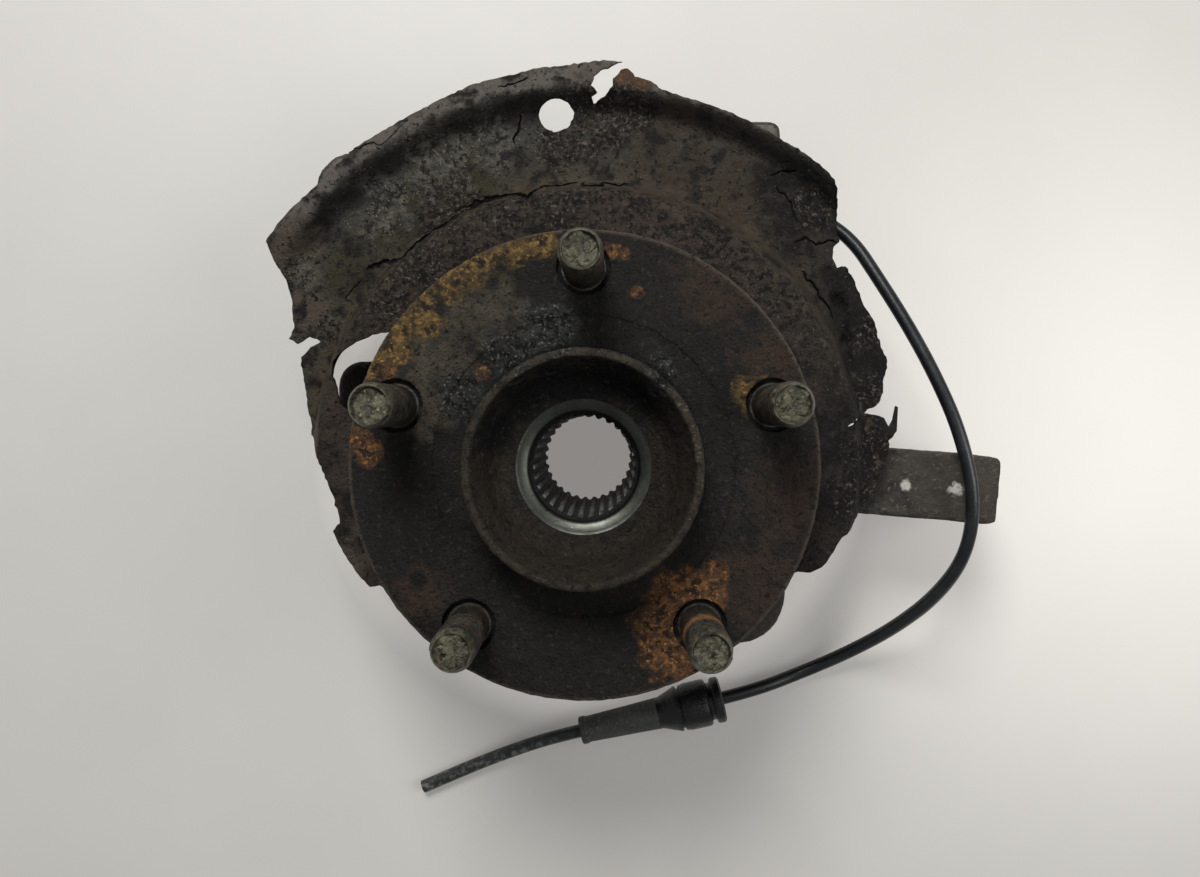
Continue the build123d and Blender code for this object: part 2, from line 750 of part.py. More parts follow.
# ---------------------------------------------------------------- wheel-speed sensor
# Moulded sensor: a nose through the ring wall, an eared flange on the pad, and a side outlet.
outlet_plane = Plane(
    origin=(*polar(sensor_outlet_r, sensor_angle), sensor_z), z_dir=sensor_plane.x_dir
)
with BuildPart() as abs_sensor_body:
    nose_parts = (
        (sensor_tip_r, o_ring_r - o_ring_t / 2, sensor_d / 2),
        (o_ring_r - o_ring_t / 2, o_ring_r + o_ring_t / 2, sensor_d / 2 + sensor_fit_gap - o_ring_t),
        (o_ring_r + o_ring_t / 2, sensor_pad_r, sensor_d / 2),
    )
    for start_r, end_r, nose_r in nose_parts:
        with BuildSketch(sensor_plane.offset(start_r)):
            Circle(nose_r)
        extrude(amount=end_r - start_r)
    with BuildSketch(sensor_plane.offset(sensor_pad_r)):
        add(arm_sketch((0, 0), sensor_head_d, (sensor_ear_shift, 0), sensor_ear_d))
        with Locations((sensor_ear_shift, 0)):
            Circle(sensor_bolt_d / 2 + shield_bolt_gap, mode=Mode.SUBTRACT)
    extrude(amount=sensor_flange_t)
    with BuildSketch(sensor_plane.offset(sensor_pad_r + sensor_flange_t)):
        Circle(sensor_head_d / 2)
    extrude(amount=sensor_head_h)
    head_rim = abs_sensor_body.edges().sort_by(Axis(sensor_plane.origin, sensor_plane.z_dir))[-1]
    fillet(head_rim, sensor_head_edge)
    with Locations(outlet_plane):
        Cylinder(
            sensor_outlet_d / 2,
            sensor_outlet_reach,
            align=(Align.CENTER, Align.CENTER, Align.MIN),
        )
abs_sensor_body.part.label = "abs_sensor_body"

# Sensor bolt, with a hexagon socket.
bolt_plane = Plane(
    origin=sensor_plane.offset(sensor_pad_r + sensor_flange_t).from_local_coords(
        (sensor_ear_shift, 0, 0)
    ),
    x_dir=sensor_plane.x_dir,
    z_dir=sensor_plane.z_dir,
)
with BuildPart() as abs_sensor_bolt:
    with BuildSketch(bolt_plane.offset(-sensor_bolt_length)):
        Circle(sensor_bolt_d / 2)
    extrude(amount=sensor_bolt_length)
    with BuildSketch(bolt_plane):
        Circle(sensor_bolt_head_d / 2)
    extrude(amount=sensor_bolt_head_h)
    with BuildSketch(bolt_plane.offset(sensor_bolt_head_h / 2)):
        RegularPolygon(sensor_bolt_socket_d / 2, 6)
    extrude(amount=sensor_bolt_head_h / 2, mode=Mode.SUBTRACT)
abs_sensor_bolt.part.label = "abs_sensor_bolt"

# O-ring in the groove of the sensor nose, sealing in the ring wall.
o_ring_plane = Plane(
    origin=sensor_plane.origin, x_dir=sensor_plane.z_dir, z_dir=sensor_plane.x_dir
)
with BuildPart() as abs_sensor_o_ring:
    with BuildSketch(o_ring_plane):
        with Locations((o_ring_r, sensor_d / 2 + sensor_fit_gap - o_ring_t / 2)):
            Circle(o_ring_t / 2)
    revolve(axis=Axis(sensor_plane.origin, sensor_plane.z_dir))
abs_sensor_o_ring.part.label = "abs_sensor_o_ring"

# ---------------------------------------------------------------- sensor lead
# Straight runs joined by tangent arcs, from the sensor outlet to the cut end.
lead_points = [
    outlet_plane.offset(sensor_outlet_reach).origin,
    outlet_plane.offset(sensor_outlet_reach + lead_start_run).origin,
    *[Vector(*point) for point in lead_route],
]
lead_runs = [b - a for a, b in zip(lead_points, lead_points[1:])]
lead_radii = []
for before, after in zip(lead_runs, lead_runs[1:]):
    half_turn = radians(before.get_angle(after)) / 2
    lead_radii.append(lead_bend_share * min(before.length, after.length) / tan(half_turn))
with BuildPart() as abs_lead:
    with BuildLine():
        lead_path = FilletPolyline(*lead_points, radius=lead_radii)
    with BuildSketch(Plane(origin=lead_path @ 0, z_dir=lead_path % 0)):
        Circle(lead_d / 2)
    sweep()
abs_lead.part.label = "abs_lead"
print("cord radii", [round(r, 1) for r in lead_radii])
print("cord runs", [round(run.length, 1) for run in lead_runs])
print("cord length", round(lead_path.length, 1))
lead_area = (lead_d / 2) ** 2 * radians(180)
print("cord volume over section x length", abs_lead.part.volume / lead_area / lead_path.length)

# Grommet and sleeve that the lead runs through, lying on the rest plane.
heading = Vector(*polar(1, grommet_heading))
grommet_axis_z = rest_z + grommet_body_d / 2
grommet_plane = Plane(
    origin=(*grommet_start, grommet_axis_z), x_dir=heading, z_dir=heading.cross(Vector(0, 0, 1))
)
grommet_axis = Axis(grommet_plane.origin, heading)
neck_x = grommet_lip_t
body_x = neck_x + grommet_neck_t
cone_x = body_x + grommet_body_t
grommet_length = cone_x + grommet_cone_t
with BuildPart() as lead_grommet:
    with BuildSketch(grommet_plane):
        with BuildLine():
            Polyline(
                (0, lead_d / 2),
                (0, grommet_lip_d / 2),
                (neck_x, grommet_lip_d / 2),
                (neck_x, grommet_neck_d / 2),
                (body_x, grommet_neck_d / 2),
                (body_x, grommet_body_d / 2),
                (cone_x, grommet_body_d / 2),
                (cone_x, grommet_cone_d / 2),
                (grommet_length, sleeve_d / 2),
                (grommet_length, lead_d / 2),
                close=True,
            )
        make_face()
    revolve(axis=grommet_axis)
lead_grommet.part.label = "lead_grommet"

collar_x = grommet_length + sleeve_length
with BuildPart() as lead_sleeve:
    with BuildSketch(grommet_plane):
        with BuildLine():
            Polyline(
                (grommet_length, lead_d / 2),
                (grommet_length, sleeve_d / 2),
                (collar_x, sleeve_tip_d / 2),
                (collar_x, collar_d / 2),
                (collar_x + collar_t, collar_d / 2),
                (collar_x + collar_t, lead_d / 2),
                close=True,
            )
        make_face()
    revolve(axis=grommet_axis)
lead_sleeve.part.label = "lead_sleeve"

# ---------------------------------------------------------------- write the pieces
export_step(knuckle.part, "parts/knuckle.step")
export_step(hub_flange.part, "parts/hub_flange.step")
export_step(wheel_studs.part, "parts/wheel_studs.step")
export_step(bearing_outer_ring.part, "parts/bearing_outer_ring.step")
for pieces in (inner_rings, ball_rows, ball_cages, seals):
    for name, piece in pieces.items():
        piece.label = name
        export_step(piece, f"parts/{name}.step")
export_step(encoder_ring.part, "parts/encoder_ring.step")
export_step(bearing_snap_ring.part, "parts/bearing_snap_ring.step")
export_step(dust_shield.part, "parts/dust_shield.step")
export_step(shield_bolts.part, "parts/shield_bolts.step")
export_step(abs_sensor_body.part, "parts/abs_sensor_body.step")
export_step(abs_sensor_bolt.part, "parts/abs_sensor_bolt.step")
export_step(abs_sensor_o_ring.part, "parts/abs_sensor_o_ring.step")
export_step(abs_lead.part, "parts/abs_lead.step")
export_step(lead_grommet.part, "parts/lead_grommet.step")
export_step(lead_sleeve.part, "parts/lead_sleeve.step")
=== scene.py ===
import bpy
import json
from math import atan2, cos, degrees, hypot, pi, radians, sin
from mathutils import Matrix, Vector, noise

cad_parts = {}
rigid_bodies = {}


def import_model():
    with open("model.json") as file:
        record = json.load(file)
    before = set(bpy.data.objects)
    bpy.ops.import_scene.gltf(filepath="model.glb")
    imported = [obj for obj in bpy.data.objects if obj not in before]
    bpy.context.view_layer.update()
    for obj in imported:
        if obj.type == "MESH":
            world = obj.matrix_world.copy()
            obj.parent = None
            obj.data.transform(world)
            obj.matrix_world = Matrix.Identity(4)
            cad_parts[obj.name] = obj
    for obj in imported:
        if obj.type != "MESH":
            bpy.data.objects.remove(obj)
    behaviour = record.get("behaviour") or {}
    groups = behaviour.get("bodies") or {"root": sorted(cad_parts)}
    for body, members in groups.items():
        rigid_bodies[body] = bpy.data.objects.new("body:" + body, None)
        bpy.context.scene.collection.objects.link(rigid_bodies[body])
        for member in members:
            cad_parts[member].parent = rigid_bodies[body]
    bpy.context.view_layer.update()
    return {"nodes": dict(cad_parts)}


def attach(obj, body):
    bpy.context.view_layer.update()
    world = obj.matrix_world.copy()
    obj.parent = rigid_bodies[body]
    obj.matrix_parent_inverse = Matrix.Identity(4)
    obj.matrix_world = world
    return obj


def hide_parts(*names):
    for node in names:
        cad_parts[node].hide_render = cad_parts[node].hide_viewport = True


# The knuckle's frame: metres, the hub axis is Z and points up, and the wheel face is at height 0.
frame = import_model()

# ---------------- camera, table and studio light
# The camera looks down the hub axis from arm's length. The table is a pale painted board, and
# the light is a broad soft window beyond the far edge, with a weak fill from the right.
MM = 0.001
CAMERA_PLACE = (7.66, 16.17, 277.8)
CAMERA_TURN = (-0.0290, 0.0108, -0.0014)
CAMERA_NEAREST = 10
CAMERA_FOCUS_PX, IMAGE_WIDTH_PX = 965.25, 1200
SENSOR_MM = 36.0
TABLE_Z, TABLE_SIZE = -100.0, 3000.0
WORLD_COLOUR, WORLD_STRENGTH = "#dfe1e4", 0.3
KEY_PLACE, KEY_SIZE, KEY_POWER = (-120, 590, 650), 360, 9.0
FILL_PLACE, FILL_SIZE, FILL_POWER = (480, 0, 420), 420, 1.6
# How much brighter the camera sees the board: away from one place, at it (a painted pool of
# light), and under the bore (painted light where the hub's shade falls).
TABLE_GLOW, GLOW_PLACE, GLOW_REACH = (0.13, 0.4), (220, 0, 0), 205
BORE_GLOW, BORE_GLOW_IN_R, BORE_GLOW_OUT_R = 0.12, 100, 110


def linear(hex_colour):
    """An sRGB hex colour as the linear colour that a shader takes."""
    parts = [int(hex_colour[i:i + 2], 16) / 255 for i in (1, 3, 5)]
    return (*[p / 12.92 if p <= 0.04045 else ((p + 0.055) / 1.055) ** 2.4 for p in parts], 1.0)


def per_mm(size):
    """The scale, in repeats a metre, of a pattern whose features are this many millimetres."""
    return 1.0 / (size * MM)


def feed(node, inputs):
    """Give each input of a node its value, or the node or output that feeds it."""
    for name, value in inputs.items():
        if isinstance(value, bpy.types.Node):
            value = next(output for output in value.outputs if output.enabled)
        if isinstance(value, bpy.types.NodeSocket):
            node.id_data.links.new(value, node.inputs[name])
        else:
            node.inputs[name].default_value = value


def add_node(tree, kind, inputs, **settings):
    """Add a node with its own settings, and feed its inputs."""
    made = tree.nodes.new("ShaderNode" + kind)
    for name, value in settings.items():
        setattr(made, name, value)
    feed(made, inputs)
    return made


def new_material(name):
    """A material, its node tree, its Principled shader and its Object coordinates."""
    material = bpy.data.materials.new(name)
    material.use_nodes = True
    tree = material.node_tree
    place = add_node(tree, "TexCoord", {}).outputs["Object"]
    return material, tree, tree.nodes["Principled BSDF"], place


camera_data = bpy.data.cameras.new("camera")
camera_data.sensor_width = SENSOR_MM
camera_data.lens = CAMERA_FOCUS_PX / IMAGE_WIDTH_PX * SENSOR_MM
camera_data.clip_start = CAMERA_NEAREST * MM
camera = bpy.data.objects.new("camera", camera_data)
camera.location = Vector(CAMERA_PLACE) * MM
camera.rotation_euler = CAMERA_TURN
bpy.context.collection.objects.link(camera)
bpy.context.scene.camera = camera

for name, spot, size, power in (("key", KEY_PLACE, KEY_SIZE, KEY_POWER),
                                ("fill", FILL_PLACE, FILL_SIZE, FILL_POWER)):
    lamp_data = bpy.data.lights.new(name, "AREA")
    lamp_data.shape = "DISK"
    lamp_data.size = size * MM
    lamp_data.energy = power
    lamp = bpy.data.objects.new(name, lamp_data)
    lamp.location = Vector(spot) * MM
    lamp.rotation_euler = (-lamp.location).to_track_quat("-Z", "Y").to_euler()
    bpy.context.collection.objects.link(lamp)

world = bpy.data.worlds.new("studio")
world.use_nodes = True
bpy.context.scene.world = world
feed(world.node_tree.nodes["Background"],
     {"Color": linear(WORLD_COLOUR), "Strength": WORLD_STRENGTH})
bpy.context.scene.view_settings.view_transform = "Standard"

# painted board: satin white, faintly uneven, and lifted a little where the camera sees it, with
# painted pools of light on the right and under the bore
bpy.ops.mesh.primitive_plane_add(size=TABLE_SIZE * MM, location=(0, 0, TABLE_Z * MM))
table = bpy.context.object
table.name = "table"
board, tree, shader, place = new_material("painted_board")
mottle = add_node(tree, "TexNoise", {"Vector": place, "Scale": per_mm(60)})
paint = add_node(tree, "Mix", {"Factor": mottle, 6: linear("#aaa8a2"), 7: linear("#b2b0aa")},
                 data_type="RGBA")
path = add_node(tree, "LightPath", {}).outputs
seen = add_node(tree, "Math", {0: path["Is Camera Ray"], 1: path["Is Glossy Ray"]},
                operation="MAXIMUM")
seen = add_node(tree, "Math", {0: seen, 1: path["Is Transmission Ray"]}, operation="MAXIMUM")
# painted light: a pool of light round a place on the right, and another under the bore, in the
# hub's shade
away = add_node(tree, "VectorMath", {0: place, 1: Vector(GLOW_PLACE) * MM}, operation="DISTANCE")
painted_light_pool = add_node(tree, "MapRange", {"Value": away, "From Min": GLOW_REACH * MM, "From Max": 0.0,
                "To Min": TABLE_GLOW[0], "To Max": TABLE_GLOW[1]},
                interpolation_type="SMOOTHSTEP")
away = add_node(tree, "VectorMath", {0: place}, operation="LENGTH")
middle = add_node(tree, "MapRange", {"Value": away, "From Min": BORE_GLOW_OUT_R * MM,
                  "From Max": BORE_GLOW_IN_R * MM, "To Max": BORE_GLOW})
painted_light_pool = add_node(tree, "Math", {0: painted_light_pool, 1: middle}, operation="ADD")
glow = add_node(tree, "Math", {0: seen, 1: painted_light_pool}, operation="MULTIPLY")
feed(shader, {"Base Color": paint, "Emission Color": linear("#fffaf5"), "Emission Strength": glow,
              "Roughness": 0.6})
table.data.materials.append(board)

# ---------------- sensor lead
# A round rubber-jacketed lead, five millimetres thick. It leaves the sensor behind the shield,
# arches over the strut tongue and comes down to the table, where its end is cut off square. Near
# that end it carries a moulded grommet and a tapered sleeve.
LEAD_D = 5.0
ARCH_THINNING, ARCH_FOOT_Z = 0.9, -62.0  # the arch is stretched a tenth thinner, above this height
LEAD_ROUTE = [
    (10.35, 76.01, -70.5), (26.26, 77.68, -70.5), (44.5, 81.5, -66.0), (64.5, 85.5, -62.5),
    (79.5, 83.5, -60.0), (91.0, 75.0, -57.5), (99.0, 61.5, -54.5), (108.0, 45.5, -51.0),
    (116.5, 28.0, -47.5), (124.0, 9.0, -44.6), (129.0, -13.0, -44.0), (128.5, -33.0, -49.5),
    (122.5, -50.0, -63.0), (112.0, -65.0, -79.0), (98.5, -77.0, -91.5), (82.5, -85.5, -96.0),
    (61.5, -92.2, -91.6), (22.1, -101.2, -91.0), (-14.0, -109.6, -91.5), (-32.0, -117.0, -95.8),
    (-49.5, -124.5, -97.5), (-66.1, -131.8, -97.5)]
GROMMET_START, GROMMET_HEADING = (50.5, -94.7, -91.1), 193.0
MOULDING_STEP, MOULDING_TURN_STEPS = 0.8, 72
GROMMET_PROFILE = [
    (2.5, 0), (7.9, 0), (8.65, 0.7), (8.65, 2.8), (8.2, 3.5), (7.0, 3.7), (7.0, 5.1), (8.0, 5.3),
    (8.7, 5.9), (8.9, 7.2), (8.85, 13.6), (8.4, 15.8), (7.5, 16.1), (7.5, 16.7), (8.5, 16.9),
    (8.5, 17.8), (8.1, 18.6), (5.9, 24.4), (5.9, 25.4), (2.5, 25.4)]
SLEEVE_PROFILE = [
    (2.5, 24.3), (5.8, 24.3), (5.9, 24.8), (5.6, 32.0), (5.25, 42.0), (4.85, 53.0), (5.2, 53.4),
    (5.2, 55.4), (4.8, 55.8), (2.5, 55.8)]


def weather(tree, shader, place, base, layers, bumps, roughness, gloss=None):
    """Worn paint, rust or rubber, on a base colour or node. Each layer is a colour, the size in mm
    of the lumps of noise that it is laid through, where on the noise it starts and is full, and
    maybe a mask. Each bump is a size and a depth in mm, and maybe a mask. The roughness is its
    lowest and highest; gloss is what else the shader takes."""
    colour = linear(base) if isinstance(base, str) else base
    for top, size, start, full, *where in layers:
        lumps = add_node(tree, "TexNoise", {"Vector": place, "Scale": per_mm(size),
                         "Detail": 5.0, "Roughness": 0.6})
        mask = add_node(tree, "MapRange", {"Value": lumps, "From Min": start, "From Max": full})
        if where:
            mask = add_node(tree, "Math", {0: mask, 1: where[0]}, operation="MULTIPLY")
        colour = add_node(tree, "Mix", {"Factor": mask, 6: colour, 7: linear(top)},
                          data_type="RGBA")
    normal = {}
    for size, depth, *where in bumps:
        lumps = add_node(tree, "TexNoise", {"Vector": place, "Scale": per_mm(size),
                         "Detail": 6.0, "Roughness": 0.65})
        strength = {"Strength": where[0]} if where else {}
        bump = add_node(tree, "Bump", {"Height": lumps, "Distance": depth * MM, **strength,
                                       **normal})
        normal = {"Normal": bump}
    sheen = add_node(tree, "MapRange", {"Value": lumps, "From Min": 0.3, "From Max": 0.7,
                     "To Min": roughness[0], "To Max": roughness[1]})
    feed(shader, {"Base Color": colour, "Roughness": sheen, **normal, **(gloss or {})})


def pick(*pieces):
    """Select these pieces and nothing else. The last becomes the active one."""
    bpy.ops.object.select_all(action="DESELECT")
    for piece in pieces:
        piece.select_set(True)
        bpy.context.view_layer.objects.active = piece


def open_mesh(piece):
    """Take a piece into edit mode with all of it selected."""
    pick(piece)
    bpy.ops.object.mode_set(mode="EDIT")
    bpy.ops.mesh.select_all(action="SELECT")


def close_mesh():
    """Turn all faces outwards and leave edit mode."""
    bpy.ops.mesh.select_all(action="SELECT")
    bpy.ops.mesh.normals_make_consistent(inside=False)
    bpy.ops.object.mode_set(mode="OBJECT")


def place_in_mesh(piece):
    """Put a piece's place into its mesh, so that its object sits at the origin."""
    pick(piece)
    bpy.ops.object.transform_apply(location=True, rotation=True, scale=True)


def fine_profile(corners, step):
    """The same closed profile with no stretch longer than step."""
    points = []
    for (r0, z0), (r1, z1) in zip(corners, corners[1:] + corners[:1]):
        parts = max(1, round(hypot(r1 - r0, z1 - z0) / step))
        points += [(r0 + (r1 - r0) * i / parts, z0 + (z1 - z0) * i / parts) for i in range(parts)]
    return points


def turned(name, profile, steps):
    """A ring turned round the Z axis from a closed (radius, height) profile."""
    pick()
    bpy.ops.mesh.primitive_plane_add(size=MM)
    piece = bpy.context.object
    piece.name = piece.data.name = name
    open_mesh(piece)
    bpy.ops.mesh.merge(type="CENTER")
    bpy.ops.transform.translate(value=(profile[0][0] * MM, 0, profile[0][1] * MM))
    for (r0, z0), (r1, z1) in zip(profile, profile[1:] + profile[:1]):
        move = {"value": ((r1 - r0) * MM, 0, (z1 - z0) * MM)}
        bpy.ops.mesh.extrude_region_move(TRANSFORM_OT_translate=move)
    bpy.ops.mesh.select_all(action="SELECT")
    bpy.ops.mesh.remove_doubles(threshold=0.01 * MM)
    bpy.ops.mesh.spin(steps=steps, angle=2 * pi, center=(0, 0, 0), axis=(0, 0, 1))
    bpy.ops.mesh.select_all(action="SELECT")
    bpy.ops.mesh.remove_doubles(threshold=0.01 * MM)
    close_mesh()
    return piece


def smooth_by_angle(piece, angle):
    """Smooth shading, broken where two faces meet at more than this angle in degrees."""
    pick(piece)
    bpy.ops.object.shade_smooth_by_angle(angle=radians(angle))


# moulded rubber jacket: near black and satin, with grey dust rubbed into it towards the cut end
jacket, tree, shader, place = new_material("moulded_rubber_jacket")
apart = add_node(tree, "SeparateXYZ", {"Vector": place}).outputs
tail = add_node(tree, "MapRange", {"Value": apart["X"], "From Min": 20 * MM,
                "From Max": -30 * MM})
weather(tree, shader, place, "#111315", [
    ("#222525", 9, 0.5, 0.75), ("#2c2e2d", 6, 0.3, 0.6, tail),
    ("#63645f", 2.6, 0.5, 0.64, tail)],
    [(1.4, 0.05)], (0.26, 0.42), {"IOR": 1.52})

# grommet rubber: black with a dull polish and a few pale scuffs
rubber, *parts = new_material("grommet_rubber")
weather(*parts, "#0f1010", [
    ("#1e1f1e", 6, 0.45, 0.7), ("#8a8b86", 0.9, 0.68, 0.74)],
    [(5, 0.5), (0.7, 0.06)], (0.18, 0.4), {"IOR": 1.52})

# sleeve rubber: softer, grey with road dust, and streaked
dusty, *parts = new_material("dusty_sleeve_rubber")
weather(*parts, "#31322e", [
    ("#42433e", 7, 0.4, 0.65), ("#56564f", 1.3, 0.54, 0.68),
    ("#1d1e1c", 3, 0.6, 0.75)], [(2.0, 0.12), (0.6, 0.05)], (0.5, 0.75), {"IOR": 1.52})

for name, profile, finish, node, slot in (
        ("grommet_moulding", GROMMET_PROFILE, rubber, "lead_grommet", "lead_rubber"),
        ("sleeve_moulding", SLEEVE_PROFILE, dusty, "lead_sleeve", "sleeve_rubber")):
    piece = turned(name, fine_profile(profile, MOULDING_STEP), MOULDING_TURN_STEPS)
    piece.location = Vector(GROMMET_START) * MM
    along = Vector((cos(radians(GROMMET_HEADING)), sin(radians(GROMMET_HEADING)), 0))
    piece.rotation_euler = along.to_track_quat("Z", "Y").to_euler()
    place_in_mesh(piece)
    smooth_by_angle(piece, 40)
    piece.data.materials.append(finish)
    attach(piece, "knuckle")
    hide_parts(node)

lead_curve = bpy.data.curves.new("lead_line", "CURVE")
lead_curve.dimensions = "3D"
lead_curve.bevel_depth = LEAD_D / 2 * MM
lead_curve.bevel_resolution = 5
lead_curve.use_fill_caps = True
lead_line = lead_curve.splines.new("NURBS")
lead_line.points.add(len(LEAD_ROUTE) - 1)
for point, spot in zip(lead_line.points, LEAD_ROUTE):
    point.co = (*Vector(spot) * MM, 1.0)
    point.radius = ARCH_THINNING if spot[2] > ARCH_FOOT_Z else 1.0
lead_line.order_u = 3
lead_line.use_endpoint_u = True
lead_line.resolution_u = 12
lead = bpy.data.objects.new("lead_jacket", lead_curve)
bpy.context.collection.objects.link(lead)
lead_curve.materials.append(jacket)
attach(lead, "knuckle")
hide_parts("abs_lead")

# ---------------- cast knuckle
# One rough iron casting: the bearing housing, the strut tongue, two caliper ears, the ball-joint
# clamp and the steering arm. Sand-cast skin rounds every edge; only the seats are machined.
CASTING_VOXEL = 1.25
HOUSING_BORE_R = 39.6
EAR_TOP_Z, EARS_FROM_Y = -74.0, 60.0
PAINT_DABS = [(109.0, -9.5, 2.2), (126.0, -11.0, 2.6)]


def apply_modifier(piece, kind, **settings):
    """Add a modifier, set it and apply it."""
    modifier = piece.modifiers.new(kind.lower(), kind)
    for name, value in settings.items():
        setattr(modifier, name, value)
    pick(piece)
    bpy.ops.object.modifier_apply(modifier=modifier.name)


def roughen(piece, name, size, height, middle=0.5, group=""):
    """Push the surface in and out along its normals by lumps of this size and height in mm."""
    lumps = bpy.data.textures.new(name, "CLOUDS")
    lumps.noise_scale = size * MM
    lumps.noise_depth = 2
    apply_modifier(piece, "DISPLACE", texture=lumps, strength=height * MM, mid_level=middle,
                   vertex_group=group, texture_coords="LOCAL")


def patch_mask(tree, place, ragged, spots):
    """A mask of ragged patches seen along the hub axis; spots are (x, y, reach) in mm."""
    flat = add_node(tree, "VectorMath", {0: place, 1: (1, 1, 0)}, operation="MULTIPLY")
    mask = None
    for x, y, reach in spots:
        away = add_node(tree, "VectorMath", {0: flat, 1: (x * MM, y * MM, 0)},
                        operation="DISTANCE")
        torn = add_node(tree, "Math", {0: ragged, 1: reach * 1.8 * MM, 2: away},
                        operation="MULTIPLY_ADD")
        spot = add_node(tree, "MapRange", {"Value": torn, "From Min": reach * 1.95 * MM,
                        "From Max": reach * 1.45 * MM})
        mask = spot if mask is None else add_node(tree, "Math", {0: mask, 1: spot},
                                                  operation="MAXIMUM")
    return mask


# the casting keeps the CAD shape: a merged copy is remeshed, then its edges are worn round
casting = frame["nodes"]["knuckle"].copy()
casting.data = casting.data.copy()
casting.parent = None
casting.name = casting.data.name = "knuckle_casting"
casting.data.transform(frame["nodes"]["knuckle"].matrix_world)
casting.matrix_world = Matrix.Identity(4)
casting.data.materials.clear()
bpy.context.collection.objects.link(casting)
apply_modifier(casting, "WELD", merge_threshold=0.01 * MM)
apply_modifier(casting, "REMESH", mode="VOXEL", voxel_size=CASTING_VOXEL * MM)

# a speck that the remesh leaves in a narrow gap goes: all that isn't joined to the far point
open_mesh(casting)
bpy.ops.mesh.select_all(action="DESELECT")
bpy.ops.object.mode_set(mode="OBJECT")
max(casting.data.vertices, key=lambda vertex: vertex.co.x).select = True
bpy.ops.object.mode_set(mode="EDIT")
bpy.ops.mesh.select_linked()
bpy.ops.mesh.select_all(action="INVERT")
bpy.ops.mesh.delete(type="VERT")
bpy.ops.object.mode_set(mode="OBJECT")
apply_modifier(casting, "SMOOTH", factor=0.5, iterations=4)
roughen(casting, "cast_swell", 14.0, 0.6, 1.0)
roughen(casting, "cast_skin", 2.4, 0.35, 1.0)
for vertex in casting.data.vertices:
    vertex.co.z = max(vertex.co.z, TABLE_Z * MM)
casting.data.shade_smooth()

# cast iron: grey-brown skin with soot, brown rust and dry dust, and two dabs of white paint
iron, tree, shader, place = new_material("cast_iron_skin")
ragged = add_node(tree, "TexNoise", {"Vector": place, "Scale": per_mm(2.0)})
dabs = patch_mask(tree, place, ragged, PAINT_DABS)
normal = add_node(tree, "NewGeometry", {}).outputs["Normal"]
facing = add_node(tree, "SeparateXYZ", {"Vector": normal}).outputs["Z"]
up = add_node(tree, "Math", {0: facing, 1: 0.7}, operation="GREATER_THAN")
painted = add_node(tree, "Math", {0: dabs, 1: up}, operation="MULTIPLY")
weather(tree, shader, place, "#37332d", [
    ("#423f38", 24, 0.42, 0.62), ("#24211d", 7, 0.52, 0.66),
    ("#443023", 4.2, 0.63, 0.74), ("#5c574c", 1.4, 0.58, 0.7),
    ("#191715", 1.0, 0.62, 0.7), ("#a9a89f", 1.1, 0.2, 0.45, painted)],
    [(6.0, 0.8), (1.8, 0.8), (0.6, 0.3)], (0.55, 0.9), {"Specular IOR Level": 0.3})

# machined seats: turned steel-grey iron, filmed with light rust
seat_iron, *parts = new_material("machined_iron_seat")
weather(*parts, "#4a4640", [
    ("#3b342c", 5, 0.45, 0.6), ("#59402d", 1.8, 0.6, 0.7)],
    [(0.5, 0.08)], (0.45, 0.7), {"Metallic": 0.4})

casting.data.materials.append(iron)
casting.data.materials.append(seat_iron)
for face in casting.data.polygons:
    in_bore = hypot(face.center.x, face.center.y) < HOUSING_BORE_R * MM
    on_ear = face.normal.z > 0.95 and abs(face.center.z - EAR_TOP_Z * MM) < 0.9 * MM
    face.material_index = 1 if in_bore or on_ear and face.center.y > EARS_FROM_Y * MM else 0
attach(casting, "knuckle")
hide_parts("knuckle")

# ---------------- hub bearing
# A double-row ball bearing in the housing: ground rings and balls, a moulded cage for each row,
# rubber seals with the magnet ring that the sensor reads, and the snap ring that holds it in.


def refinish(node, finish):
    """Give a CAD node this finish alone."""
    slots = frame["nodes"][node].data.materials
    slots.clear()
    slots.append(finish)


# ground bearing steel: bright, with fine grinding marks round the axis and a film of grease
race, *parts = new_material("ground_bearing_steel")
weather(*parts, "#9a9b9c", [
    ("#6c6a66", 4, 0.5, 0.7), ("#4e4335", 1.6, 0.64, 0.72)],
    [(0.35, 0.03)], (0.12, 0.35), {"Metallic": 1.0})

# cage nylon: translucent cream, stained brown by old grease
nylon, *parts = new_material("greasy_cage_nylon")
weather(*parts, "#b7a987", [
    ("#8a744c", 5, 0.45, 0.65), ("#5c4a2c", 2.2, 0.6, 0.72)],
    [(0.8, 0.04)], (0.25, 0.5))

# seal rubber: matt black, dusted, with a brown tide mark of dried grease
seal, *parts = new_material("dusty_seal_rubber")
weather(*parts, "#1b1b1a", [
    ("#35322c", 3.4, 0.48, 0.66), ("#4a3a28", 1.5, 0.62, 0.72)],
    [(0.9, 0.08)], (0.5, 0.8))

# rusted bolt steel: brown with darker pits and a few bright rubbed spots
bolt_rust, *parts = new_material("rusted_bolt_steel")
weather(*parts, "#45342a", [
    ("#6b4429", 2.6, 0.45, 0.62), ("#2a2320", 1.2, 0.55, 0.68),
    ("#86827a", 0.8, 0.68, 0.76)], [(1.6, 0.25), (0.5, 0.1)], (0.5, 0.85), {"Metallic": 0.35})

for finish, nodes in ((race, ("bearing_outer_ring", "bearing_inner_ring_outboard",
                              "bearing_inner_ring_inboard", "bearing_balls_outboard",
                              "bearing_balls_inboard")),
                      (nylon, ("bearing_cage_outboard", "bearing_cage_inboard")),
                      (seal, ("bearing_seal_outboard", "bearing_seal_inboard", "encoder_ring",
                              "abs_sensor_o_ring")),
                      (bolt_rust, ("bearing_snap_ring", "shield_bolts", "abs_sensor_bolt"))):
    for node in nodes:
        refinish(node, finish)

